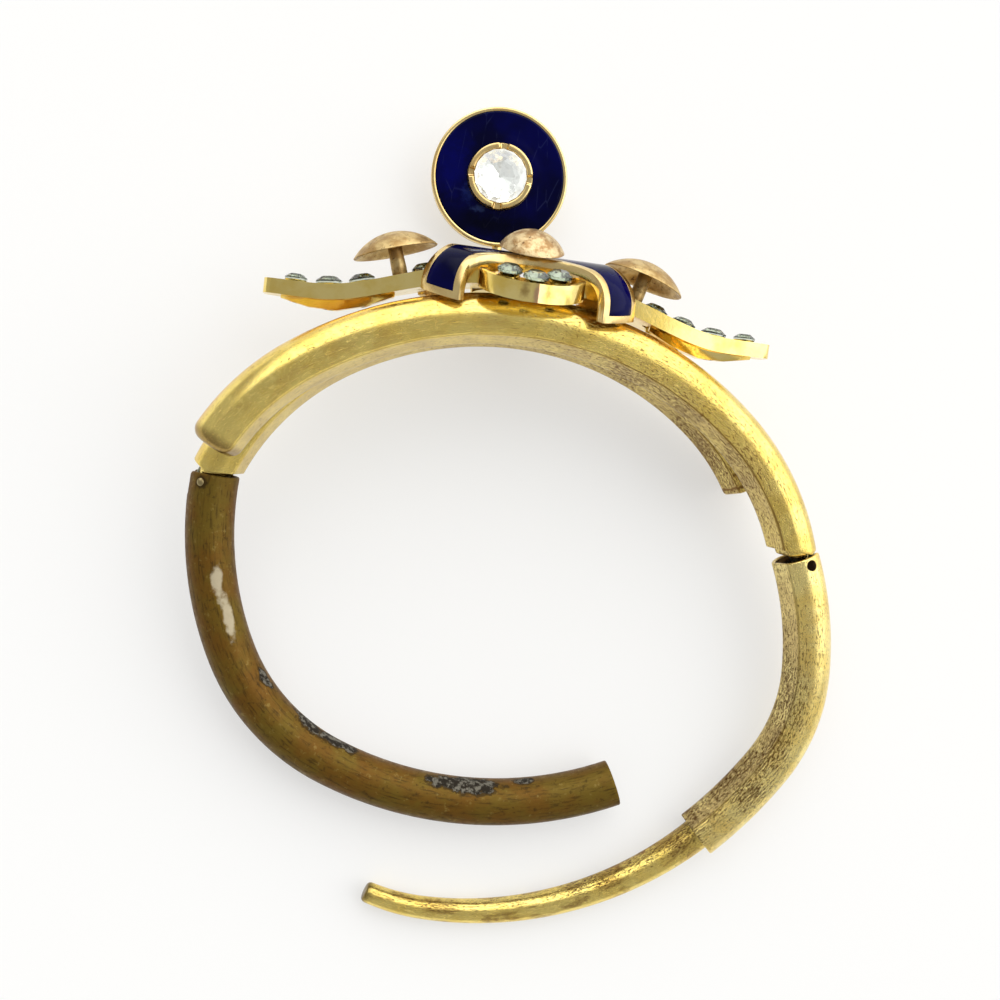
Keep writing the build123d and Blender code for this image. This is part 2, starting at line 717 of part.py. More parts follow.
# Disc behind the saddle: dished plate on a stalk, enamel round a notched bezel
disc_centre = flower_face.from_local_coords(Vector(disc_x, disc_y, disc_z))
disc_plane = Plane(disc_centre, flower_across, (0, 0, 1))
disc_front = disc_plane.offset(disc_thickness / 2)
with BuildPart() as disc_dish:
    with BuildSketch(disc_plane):
        Circle(disc_radius)
    extrude(amount=disc_thickness / 2, both=True)
    with BuildSketch(disc_front):
        Circle(disc_radius - disc_rim)
        Circle(bezel_radius + enamel_gap, mode=Mode.SUBTRACT)
    extrude(amount=-enamel_depth, mode=Mode.SUBTRACT)
    with BuildSketch(disc_front):
        Circle(bezel_radius)
    extrude(amount=bezel_height)
    with BuildSketch(disc_front.offset(bezel_height)):
        Circle(bezel_radius - bezel_wall)
    extrude(amount=-bezel_height, mode=Mode.SUBTRACT)
    with BuildSketch(disc_front.offset(bezel_height)):
        with PolarLocations(bezel_radius, 4, start_angle=45):
            Rectangle(2 * bezel_wall, notch_width)
    extrude(amount=-notch_depth, mode=Mode.SUBTRACT)
    stalk_foot = short_top(stalk_z + stalk_radius) + fit_gap
    stalk_centre = flower_face.from_local_coords(Vector(stalk_x, stalk_foot, stalk_z))
    with BuildSketch(Plane(stalk_centre, flower_across, flower_face.y_dir)):
        Circle(stalk_radius)
    extrude(amount=disc_y - disc_radius + disc_rim - stalk_foot)
with BuildPart() as disc_enamel:
    with BuildSketch(disc_front.offset(enamel_gap - enamel_depth)):
        Circle(disc_radius - disc_rim - enamel_gap)
        Circle(bezel_radius + 2 * enamel_gap, mode=Mode.SUBTRACT)
    extrude(amount=enamel_depth - enamel_gap)
with BuildPart() as disc_crystal:
    with Locations(disc_front.offset(crystal_gap + crystal_depth)):
        add(cuts[crystal_radius])


def lay(shape):
    """Shape turned into the attitude in which the bangle lies."""
    return Rot(0, rest_roll, 0) * Rot(rest_pitch, 0, 0) * shape


def open_arm(shape):
    """Shape of the right arm swung open about its hinge."""
    return Pos(pivot_x, pivot_y, 0) * Rot(0, 0, right_arm_open) * Pos(-pivot_x, -pivot_y, 0) * shape


pieces = [
    ("near_tube", near_tube.part),
    ("far_tube", far_tube.part),
    ("left_arm", left_arm.part),
    ("right_arm", open_arm(right_arm.part)),
    ("clasp_tongue", open_arm(clasp_tongue.part)),
    ("hinge_pin_left", Pos(-pivot_x, pivot_y, 0) * hinge_pin.part),
    ("hinge_pin_right", Pos(pivot_x, pivot_y, 0) * hinge_pin.part),
    ("petal_cross", petal_cross.part),
    ("saddle_frame", saddle_frame.part),
    ("saddle_enamel", saddle_enamel.part),
    ("disc_dish", disc_dish.part),
    ("disc_enamel", disc_enamel.part),
    ("disc_crystal", disc_crystal.part),
]
pieces += domes
pieces += stones
for name, shape in pieces:
    laid = lay(shape)
    laid.label = name
    export_step(laid, f"parts/{name}.step")
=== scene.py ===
"""Hinged bangle with a flower of leaves, enamel, domes and stones: meshes, finishes, light and camera.

The band is worked out flat, in millimetres: X across the wrist from hinge to hinge, Y towards the flower and
Z along the forearm. Every mesh is then laid on the rest, in metres, where the solids lie.
"""

import logging
from dataclasses import dataclass, replace
from enum import Enum

import bmesh
import bpy
import numpy as np
from mathutils import Matrix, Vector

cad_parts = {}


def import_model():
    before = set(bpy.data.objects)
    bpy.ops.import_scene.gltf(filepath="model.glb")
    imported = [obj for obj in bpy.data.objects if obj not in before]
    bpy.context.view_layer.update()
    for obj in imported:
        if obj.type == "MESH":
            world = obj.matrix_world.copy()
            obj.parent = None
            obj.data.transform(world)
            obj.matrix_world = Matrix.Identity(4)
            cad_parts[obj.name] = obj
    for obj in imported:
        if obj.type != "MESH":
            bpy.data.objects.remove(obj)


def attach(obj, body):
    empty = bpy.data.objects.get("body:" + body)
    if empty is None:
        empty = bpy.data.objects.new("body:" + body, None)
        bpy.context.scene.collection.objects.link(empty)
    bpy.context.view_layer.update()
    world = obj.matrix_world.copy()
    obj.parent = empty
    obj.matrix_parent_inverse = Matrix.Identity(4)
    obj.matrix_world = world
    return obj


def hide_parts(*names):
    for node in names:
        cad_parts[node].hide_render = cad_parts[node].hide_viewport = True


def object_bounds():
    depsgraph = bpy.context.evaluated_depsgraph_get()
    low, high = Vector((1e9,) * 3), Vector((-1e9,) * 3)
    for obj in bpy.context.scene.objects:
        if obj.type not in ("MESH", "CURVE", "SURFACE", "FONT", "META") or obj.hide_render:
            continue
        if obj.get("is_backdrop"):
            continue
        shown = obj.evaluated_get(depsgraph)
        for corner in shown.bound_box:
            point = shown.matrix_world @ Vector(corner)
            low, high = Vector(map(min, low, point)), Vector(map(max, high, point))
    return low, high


LOG = logging.getLogger("bangle")
MM = 0.001
QUARTER, FULL = np.pi / 2, 2 * np.pi
Array = np.ndarray
Colour = tuple[float, float, float]
Piece = bpy.types.Object
Socket = bpy.types.NodeSocket
Finish = bpy.types.Material


class Body(Enum):
    """Bodies of the bangle that its pieces ride on."""

    FRONT = "front"
    LEFT_ARM = "left_arm"
    RIGHT_ARM = "right_arm"


class Slot(Enum):
    """Material slots of the record."""

    GOLD = "gold"
    LACQUERED = "lacquered"
    DOMES = "domes"
    RIVETS = "rivets"
    ENAMEL = "enamel"
    STONES = "stones"
    CRYSTAL = "crystal"


# Attitude and shared sizes


def cos_sin(degrees: float) -> tuple[float, float]:
    """Cosine and sine of an angle in degrees."""
    return np.cos(np.radians(degrees)), np.sin(np.radians(degrees))


def unit(vectors: Array) -> Array:
    """Vectors scaled to length one along the last axis."""
    return vectors / np.linalg.norm(vectors, axis=-1, keepdims=True)


@dataclass(frozen=True)
class Attitude:
    """How the flat-drawn band is tipped onto its rest, in degrees."""

    pitch: float = 7.69
    roll: float = 0.45

    def matrix(self) -> Array:
        """Rotation about X by the pitch and then about Y by the roll."""
        (cp, sp), (cr, sr) = cos_sin(self.pitch), cos_sin(self.roll)
        about_x = np.array([[1, 0, 0], [0, cp, -sp], [0, sp, cp]])
        return np.array([[cr, 0, sr], [0, 1, 0], [-sr, 0, cr]]) @ about_x

    def lay(self, points: Array) -> Array:
        """Points of the flat drawing, in millimetres, carried onto the rest, in metres."""
        return points @ self.matrix().T * MM


@dataclass(frozen=True)
class Joints:
    """Places of the two hinges and the way in which the right arm stands open."""

    pivot_x: float = 32.7
    pivot_y: float = 4.8
    front_gap: float = 1.15
    arm_gap: float = 0.85
    right_arm_open: float = 20.3

    def swing(self, points: Array) -> Array:
        """Points of the closed right arm turned open about the right hinge."""
        c, s = cos_sin(self.right_arm_open)
        pivot = np.array([self.pivot_x, self.pivot_y, 0])
        return (points - pivot) @ np.array([[c, -s, 0], [s, c, 0], [0, 0, 1]]).T + pivot


REST = Attitude()
JOINTS = Joints()


@dataclass(frozen=True)
class Seat:
    """Local axes of a piece in the flat drawing: across, along and out of its face."""

    origin: Array
    across: Array
    along: Array
    out: Array

    def place(self, points: Array) -> Array:
        """Local points carried into the flat drawing."""
        return self.origin + points @ np.stack([self.across, self.along, self.out])

    def raised(self, height: float) -> "Seat":
        """The same seat moved out of its face by the height."""
        return replace(self, origin=self.origin + self.out * height)

    def leaned(self, degrees: float) -> "Seat":
        """The same seat turned about its across axis, its face leaning away from its along axis."""
        c, s = cos_sin(degrees)
        return replace(self, along=self.along * c + self.out * s, out=self.out * c - self.along * s)


# Mesh makers


def linked(data: bpy.types.ID) -> Piece:
    """New object at the origin that carries a mesh or a camera under its name."""
    piece = bpy.data.objects.new(data.name, data)
    bpy.context.collection.objects.link(piece)
    return piece


def settle(mesh: bpy.types.Mesh, flat: bool = False) -> Piece:
    """Turns a closed mesh's faces outwards, shades it and links its object.

    Args:
        mesh: the mesh, already in place.
        flat: True keeps every face flat.

    Returns:
        The object that carries the mesh.
    """
    work = bmesh.new()
    work.from_mesh(mesh)
    bmesh.ops.recalc_face_normals(work, faces=work.faces)
    for face in work.faces:
        face.smooth = not flat
    work.to_mesh(mesh)
    work.free()
    mesh.update()
    return linked(mesh)


@dataclass
class Skin:
    """Closed surface in the making: rings of points, with the run and girth of each point as its UV.

    The rings close round, and the last joins the first where ring is set. Marked rings take the second finish.
    """

    name: str
    rings: Array
    runs: Array
    girths: Array
    ring: bool = False
    inside: Array | None = None

    def quads(self) -> Array:
        """Vertex numbers of the grid's faces, four to a face."""
        rows, columns = self.rings.shape[:2]
        i, j = np.meshgrid(np.arange(rows if self.ring else rows - 1), np.arange(columns), indexing="ij")
        after, beside = (i + 1) % rows, (j + 1) % columns
        corners = (i * columns + j, i * columns + beside, after * columns + beside, after * columns + j)
        return np.stack(corners, -1).reshape(-1, 4)

    def build(self, flat: bool = False) -> Piece:
        """Puts the rings, laid on the rest, into a mesh closed by poles at both ends.

        Args:
            flat: True keeps every face flat.

        Returns:
            The new object, at the origin.
        """
        rows, columns = self.rings.shape[:2]
        points = REST.lay(self.rings).reshape(-1, 3)
        quads = self.quads()
        faces = quads.tolist()
        along = np.broadcast_to(self.runs[:, None] if self.runs.ndim == 1 else self.runs, (rows, columns))
        uv = np.stack([along, np.broadcast_to(self.girths, (rows, columns))], -1).reshape(-1, 2)
        corner_uv = uv[quads]
        wraps = quads[:, 1] % columns == 0
        corner_uv[wraps, 1, 1] = self.girths[-1] + self.girths[1] - self.girths[0]
        corner_uv[wraps, 2, 1] = corner_uv[wraps, 1, 1]
        loops = [corner_uv.reshape(-1, 2)]
        dark = None if self.inside is None else np.repeat(self.inside[:-1], columns)
        if not self.ring:
            points = np.concatenate([points, points[:columns].mean(0)[None], points[-columns:].mean(0)[None]])
            j = np.arange(columns)
            first = np.stack([np.full(columns, rows * columns), (j + 1) % columns, j], -1)
            last = np.stack([np.full(columns, rows * columns + 1), j, (j + 1) % columns], -1)
            last[:, 1:] += (rows - 1) * columns
            faces += first.tolist() + last.tolist()
            loops += [uv[fan[:, [1, 1, 2]]].reshape(-1, 2) for fan in (first, last)]
            if dark is not None:
                dark = np.concatenate([dark, np.repeat(self.inside[[0, -1]], columns)])
        mesh = bpy.data.meshes.new(self.name)
        mesh.from_pydata(points.tolist(), [], faces)
        layer = mesh.uv_layers.new(name="laid")
        layer.data.foreach_set("uv", np.concatenate(loops).astype(np.float32).ravel())
        if dark is not None:
            mesh.polygons.foreach_set("material_index", dark.astype(np.int32))
        return settle(mesh, flat)


def around(radius: Array, height: Array, angles: Array) -> Array:
    """Points at a radius and a height, turned about the third axis to the angles."""
    return np.stack([radius * np.cos(angles), radius * np.sin(angles), height + 0 * angles], -1)


def turned(name: str, rows: Array, seat: Seat, columns: int) -> Piece:
    """Turned piece: a profile of radius and height carried round the seat's out axis.

    Args:
        name: name of the piece.
        rows: radius and height of each ring.
        seat: where the piece stands.
        columns: points in each ring.

    Returns:
        The closed piece.
    """
    angles = np.linspace(0, FULL, columns, endpoint=False)
    runs = np.cumsum(np.hypot(*np.diff(rows, axis=0, prepend=rows[:1]).T))
    rings = seat.place(around(rows[:, :1], rows[:, 1:], angles))
    return Skin(name, rings, runs, angles * rows[:, 0].max()).build()


def joined(name: str, pieces: list[Piece]) -> Piece:
    """Fuses several new objects into one that carries the name.

    Args:
        name: name of the fused piece.
        pieces: objects with meshes in place.

    Returns:
        The fused object.
    """
    with bpy.context.temp_override(active_object=pieces[0], selected_editable_objects=pieces):
        bpy.ops.object.join()
    pieces[0].name = name
    pieces[0].data.name = name
    return pieces[0]


def softened(node: str, edge: float) -> Piece:
    """A merged copy of a solid with its edges rounded.

    Args:
        node: name of the solid.
        edge: width of the rounding in millimetres.

    Returns:
        The new object, which stands for the solid.
    """
    source = bpy.data.objects[node]
    mesh = source.data.copy()
    mesh.name = f"{node}_finished"
    mesh.transform(source.matrix_world)
    work = bmesh.new()
    work.from_mesh(mesh)
    bmesh.ops.remove_doubles(work, verts=work.verts, dist=1e-6)
    bmesh.ops.dissolve_limit(work, angle_limit=np.radians(0.4), verts=work.verts, edges=work.edges)
    for face in work.faces:
        face.smooth = True
    work.to_mesh(mesh)
    work.free()
    mesh.materials.clear()
    piece = linked(mesh)
    bevel = piece.modifiers.new("rounded_edges", "BEVEL")
    bevel.width = edge * MM
    bevel.segments = 2
    bevel.limit_method = "ANGLE"
    bevel.angle_limit = np.radians(35)
    piece.modifiers.new("even_shading", "WEIGHTED_NORMAL").weight = 80
    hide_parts(node)
    return piece


# Finishes


@dataclass(frozen=True)
class Spot:
    """Local mark, real stain and painted light alike: its place in the flat drawing, its half sizes in
    millimetres, its colour and its cover.
    """

    place: tuple[float, float, float]
    half: tuple[float, float, float]
    colour: Colour
    cover: float = 1.0
    ragged: float = 0.3
    soft: float = 0.5
    painted_hole: bool = False


@dataclass
class Nodes:
    """Node tree, with short calls for the nodes that the finishes and the room share."""

    tree: bpy.types.NodeTree

    def feed(self, target: Socket, source: object) -> None:
        """Links a socket, or sets a plain number or colour, on the target socket.

        Args:
            target: input of a node.
            source: socket, number or colour.
        """
        if isinstance(source, Socket):
            self.tree.links.new(source, target)
        else:
            target.default_value = (*source, 1) if target.type == "RGBA" else source

    def node(self, kind: str, inputs: dict[str | int, object], **values: object) -> bpy.types.Node:
        """Adds a node, sets its properties and feeds its inputs.

        Args:
            kind: Blender's name for the node type.
            inputs: what goes into each input, by name or number.
            **values: properties of the node, by name.

        Returns:
            The new node.
        """
        made = self.tree.nodes.new(kind)
        for key, value in values.items():
            setattr(made, key, value)
        for key, value in inputs.items():
            self.feed(made.inputs[key], value)
        return made

    def ramp(self, value: Socket, low: float, high: float, to_low: float = 0.0, to_high: float = 1.0) -> Socket:
        """Smooth step from to_low, where the value is low, to to_high, where it is high."""
        inputs = {"Value": value, "From Min": low, "From Max": high, "To Min": to_low, "To Max": to_high}
        return self.node("ShaderNodeMapRange", inputs, interpolation_type="SMOOTHSTEP").outputs["Result"]

    def sums(self, operation: str, first: object, second: object) -> Socket:
        """One sum of two values or sockets, by the name of Blender's operation."""
        return self.node("ShaderNodeMath", {0: first, 1: second}, operation=operation).outputs["Value"]

    def plus(self, first: object, second: object) -> Socket:
        """Sum of two values."""
        return self.sums("ADD", first, second)

    def times(self, first: object, second: object) -> Socket:
        """Product of two values."""
        return self.sums("MULTIPLY", first, second)

    def most(self, first: object, second: object) -> Socket:
        """The greater of two values."""
        return self.sums("MAXIMUM", first, second)

    def apart(self, first: object, second: object) -> Socket:
        """Distance between two values."""
        return self.sums("ABSOLUTE", self.sums("SUBTRACT", first, second), 0.0)


class Recipe(Nodes):
    """Node tree of one material."""

    def __init__(self, name: str) -> None:
        """Makes the material with its principled shader."""
        self.material = bpy.data.materials.new(name)
        self.material.use_nodes = True
        super().__init__(self.material.node_tree)

    def shade(self, inputs: dict[str, object]) -> Finish:
        """Feeds the principled shader's inputs.

        Args:
            inputs: what goes into each input, by name.

        Returns:
            The material.
        """
        for key, value in inputs.items():
            self.feed(self.tree.nodes["Principled BSDF"].inputs[key], value)
        return self.material

    def solid(self) -> Socket:
        """Object coordinates, in metres."""
        return self.node("ShaderNodeTexCoord", {}).outputs["Object"]

    def laid(self, squeeze: float = 1.0) -> Socket:
        """The piece's own run and girth in millimetres, the run divided by squeeze."""
        source = self.node("ShaderNodeUVMap", {}, uv_map="laid").outputs["UV"]
        inputs = {"Vector": source, "Scale": (1 / squeeze, 1, 1)}
        return self.node("ShaderNodeMapping", inputs).outputs["Vector"]

    def run_girth(self) -> tuple[Socket, Socket]:
        """The piece's own run and girth in millimetres, as two values."""
        split = self.node("ShaderNodeSeparateXYZ", {"Vector": self.laid()})
        return split.outputs["X"], split.outputs["Y"]

    def noise(self, place: Socket, scale: float, detail: float = 3.0, rough: float = 0.55) -> Socket:
        """Cloudy noise from 0 to 1, with so many waves to the unit and so many finer layers."""
        inputs = {"Vector": place, "Scale": scale, "Detail": detail, "Roughness": rough}
        return self.node("ShaderNodeTexNoise", inputs).outputs["Fac"]

    def blend(self, share: object, first: object, second: object) -> Socket:
        """Colour that goes from the first to the second as the share goes from 0 to 1."""
        return self.node("ShaderNodeMix", {"Factor": share, 6: first, 7: second}, data_type="RGBA").outputs[2]

    def from_centre(self, place: Socket, centre: tuple[float, ...], half: tuple[float, ...]) -> Socket:
        """Distance from a centre, as a share of the half sizes of the oval about it.

        Args:
            place: coordinates.
            centre: centre of the oval, in their unit.
            half: its half sizes, in their unit.

        Returns:
            0 at the centre and 1 on the oval.
        """
        inputs = {"Vector": place, "Location": centre, "Scale": half}
        shifted = self.node("ShaderNodeMapping", inputs, vector_type="TEXTURE").outputs["Vector"]
        return self.node("ShaderNodeVectorMath", {0: shifted}, operation="LENGTH").outputs["Value"]

    def spot_mask(self, spot: Spot) -> Socket:
        """Mask of a spot: an oval about its centre with a soft edge that a noise breaks up.

        Args:
            spot: the local stain.

        Returns:
            The spot's cover on it and 0 off it.
        """
        place = self.solid()
        centre, half = REST.lay(np.array(spot.place)), np.array(spot.half) * MM
        far = self.from_centre(place, tuple(centre), tuple(half))
        edge = self.ramp(self.noise(place, 1500, 3), 0.25, 0.75, -spot.ragged, spot.ragged)
        return self.ramp(self.plus(far, edge), 1.0 - spot.soft, 1.0, spot.cover, 0.0)

    def relief(self, height: Socket, depth: float, under: Socket | None = None) -> Socket:
        """Normal bumped by a height map, its depth in millimetres, over a coarser relief if there is one."""
        inputs = {"Distance": depth * MM, "Strength": 1.0, "Height": height}
        if under is not None:
            inputs["Normal"] = under
        return self.node("ShaderNodeBump", inputs).outputs["Normal"]


@dataclass(frozen=True)
class Gilt:
    """Gilt brass, polished, with haze, hair scratches, brown specks, a painted copper reflection along a tube's
    outer side and painted shade over a closed end.

    The wear takes in less of the metal from worn_from to worn_to along the run, and more on the wrist's side.
    """

    name: str
    bright: Colour = (0.95, 0.75, 0.23)
    shade: Colour = (0.86, 0.63, 0.15)
    tarnish: Colour = (0.19, 0.085, 0.018)
    polish: float = 0.2
    haze: float = 0.14
    speck_share: float = 0.3
    speck_size: float = 0.35
    streaks: float = 0.0
    film: float = 0.3
    film_tone: Colour = (0.50, 0.27, 0.06)
    swell: float = 0.05
    laid: bool = False
    worn_from: float = 0.0
    worn_to: float = 1.0
    inner_girth: float = 9.0
    seam_run: float = 0.0
    # run from which a closed end is painted in shade, and the colour of that painted shade
    end_shade: float = 0.0
    end_shade_tone: Colour = (0.30, 0.19, 0.06)
    creased: bool = False
    crease_girth: float = 10.2
    flat_tone: Colour = (0.60, 0.46, 0.21)
    # colour of the painted reflection along a tube's outer, lower side
    edge_reflection_copper: Colour = (0.80, 0.47, 0.20)
    spots: tuple[Spot, ...] = ()

    def wear(self, recipe: Recipe) -> Socket:
        """How much the wear takes in: most where the run starts to wear and the girth passes the crown."""
        run, girth = recipe.run_girth()
        return recipe.times(recipe.ramp(run, self.worn_from, self.worn_to, 1.0, 0.12),
                            recipe.ramp(girth, self.inner_girth - 3.0, self.inner_girth + 1.5, 0.15, 1.0))

    def flat_side(self, recipe: Recipe, clouds: Socket, worn: Socket, colour: Socket) -> tuple[Socket, Socket]:
        """Dulls the flat on the wrist's side and paints a copper-coloured reflection along the outermost line,
        in clouds.

        Args:
            recipe: the material in the making.
            clouds: noise of the finish.
            worn: how much the wear takes in.
            colour: colour of the round part.

        Returns:
            The new colour and the mask of the dark crease beside the flat.
        """
        girth = recipe.run_girth()[1]
        edge = recipe.plus(girth, recipe.times(recipe.noise(recipe.laid(6.0), 1.2, 3), 0.5))
        side = recipe.ramp(edge, self.crease_girth, self.crease_girth + 0.3)
        dull = recipe.times(side, recipe.ramp(clouds, 0.3, 0.7, 0.35, 0.85))
        # Painted reflection: copper along the lower, outer side of the tube, broken up by a noise.
        painted_edge_reflection = recipe.times(recipe.ramp(girth, 4.5, 6.0, 1.0, 0.0),
                              recipe.ramp(recipe.noise(recipe.laid(4.0), 0.45, 3), 0.40, 0.62, 0.15, 0.75))
        colour = recipe.blend(painted_edge_reflection, recipe.blend(dull, colour, self.flat_tone), self.edge_reflection_copper)
        line = recipe.ramp(recipe.apart(edge, self.crease_girth), 0.02, 0.2, 0.8, 0.0)
        return colour, recipe.times(line, recipe.ramp(worn, 0.0, 0.9, 0.3, 1.0))

    def seam(self, recipe: Recipe) -> Socket:
        """Mask of the dark, ragged line of solder where the end is closed."""
        ragged = recipe.times(recipe.noise(recipe.laid(), 1.6, 3), 0.9)
        off = recipe.apart(recipe.plus(recipe.run_girth()[0], ragged), self.seam_run + 0.45)
        return recipe.ramp(off, 0.10, 0.32, 0.85, 0.0)

    def weather(self, recipe: Recipe, clouds: Socket, drifts: Socket, colour: Socket,
                soil: Socket) -> tuple[Socket, Socket]:
        """Lays the wear of a tube over its gold: dots and hairs drawn out along the run and a brown film; on a
        creased tube the flat's tones and a painted copper reflection, and painted shade over a closed end.

        Args:
            recipe: the material in the making.
            clouds: noise that parts the two golds.
            drifts: coarse noise that gathers the wear.
            colour: the two golds.
            soil: mask of the specks.

        Returns:
            The new colour and the new mask.
        """
        worn = self.wear(recipe)
        dots = recipe.noise(recipe.laid(2.6), 5.5, 6, 0.88)
        hair = recipe.noise(recipe.laid(11.0), 4.5, 5, 0.8)
        patchy = recipe.times(worn, recipe.ramp(drifts, 0.35, 0.65, 0.55, 1.15))
        level = recipe.times(patchy, 0.115 * self.streaks)
        soil = recipe.most(soil, recipe.ramp(recipe.plus(dots, level), 0.575, 0.62))
        soil = recipe.most(soil, recipe.ramp(recipe.plus(hair, level), 0.595, 0.68, 0.0, 0.85))
        broad = recipe.plus(recipe.noise(recipe.laid(2.0), 0.5, 3), level)
        film = recipe.ramp(broad, 0.50, 0.66, 0.0, self.film)
        film = recipe.times(film, recipe.ramp(dots, 0.40, 0.58, 0.25, 1.0))
        colour = recipe.blend(film, colour, self.film_tone)
        if self.creased:
            colour, crease = self.flat_side(recipe, clouds, worn, colour)
            soil = recipe.most(soil, crease)
        if self.seam_run:
            soil = recipe.most(soil, self.seam(recipe))
        # Painted shade: the closed end darkens from the end_shade run on.
        if self.end_shade:
            painted_end_shade = recipe.ramp(recipe.run_girth()[0], self.end_shade - 0.7, self.end_shade + 0.5, 0.0, 0.85)
            colour = recipe.blend(painted_end_shade, colour, self.end_shade_tone)
        return colour, soil

    def material(self) -> Finish:
        """Builds the finish: two golds in clouds, specks in drifts, a tube's wear, local stains and painted
        light, and fine bump.

        Returns:
            The material.
        """
        recipe = Recipe(self.name)
        solid = recipe.solid()
        clouds = recipe.noise(solid, 260, 4, 0.6)
        drifts = recipe.noise(solid, 170, 3, 0.6)
        grain = recipe.noise(solid, 1000 / self.speck_size, 3, 0.65)
        colour = recipe.blend(recipe.ramp(clouds, 0.35, 0.68), self.bright, self.shade)
        cover = recipe.ramp(drifts, 0.72 - 0.4 * self.speck_share, 0.85 - 0.3 * self.speck_share)
        soil = recipe.times(recipe.ramp(grain, 0.60, 0.68), cover)
        height = recipe.noise(solid, 2600, 3, 0.6)
        if self.laid:
            height = recipe.noise(recipe.laid(14.0), 14.0, 3, 0.7)
            colour, soil = self.weather(recipe, clouds, drifts, colour, soil)
        colour = recipe.blend(soil, colour, self.tarnish)
        metal = recipe.ramp(soil, 0.0, 1.0, 1.0, 0.85)
        # Spots are local stains and painted light: the leaf ridge's painted reflection, painted shade in its
        # flutes and in the right rivet's hole.
        for spot in self.spots:
            mask = recipe.spot_mask(spot)
            colour = recipe.blend(mask, colour, spot.colour)
            # A painted hole: painted shade, matt black without shine.
            if spot.painted_hole:
                metal = recipe.times(metal, recipe.sums("SUBTRACT", 1.0, mask))
                recipe.shade({"Specular IOR Level": recipe.ramp(mask, 0.0, 1.0, 0.5, 0.0)})
        sheen = recipe.ramp(clouds, 0.3, 0.7, self.polish, self.polish + self.haze)
        swell = recipe.relief(recipe.noise(solid, 140, 2, 0.5), self.swell)
        return recipe.shade({"Base Color": colour, "Metallic": metal,
                             "Roughness": recipe.plus(sheen, recipe.times(soil, 0.25)),
                             "Normal": recipe.relief(soil, -0.02, recipe.relief(height, 0.006, swell))})


@dataclass(frozen=True)
class Inside:
    """Dull, dark gilding inside a tube."""

    name: str = "tube_inside"
    light: Colour = (0.20, 0.13, 0.05)
    dark: Colour = (0.06, 0.035, 0.015)

    def material(self) -> Finish:
        """Builds the finish: two dark golds in clouds, rough all over."""
        recipe = Recipe(self.name)
        solid = recipe.solid()
        clouds = recipe.noise(solid, 700, 4, 0.6)
        return recipe.shade({"Base Color": recipe.blend(recipe.ramp(clouds, 0.35, 0.65), self.light, self.dark),
                             "Metallic": 0.7, "Roughness": recipe.ramp(clouds, 0.3, 0.7, 0.45, 0.75),
                             "Normal": recipe.relief(recipe.noise(solid, 2500, 3), 0.02)})


@dataclass(frozen=True)
class Patch:
    """Place on the left arm, bared where dark and a painted highlight where pale: where along and round it,
    half its length and width, in millimetres.
    """

    run: float
    girth: float
    half_length: float
    half_width: float
    # pale patches are painted highlights, the others bared places
    pale: bool


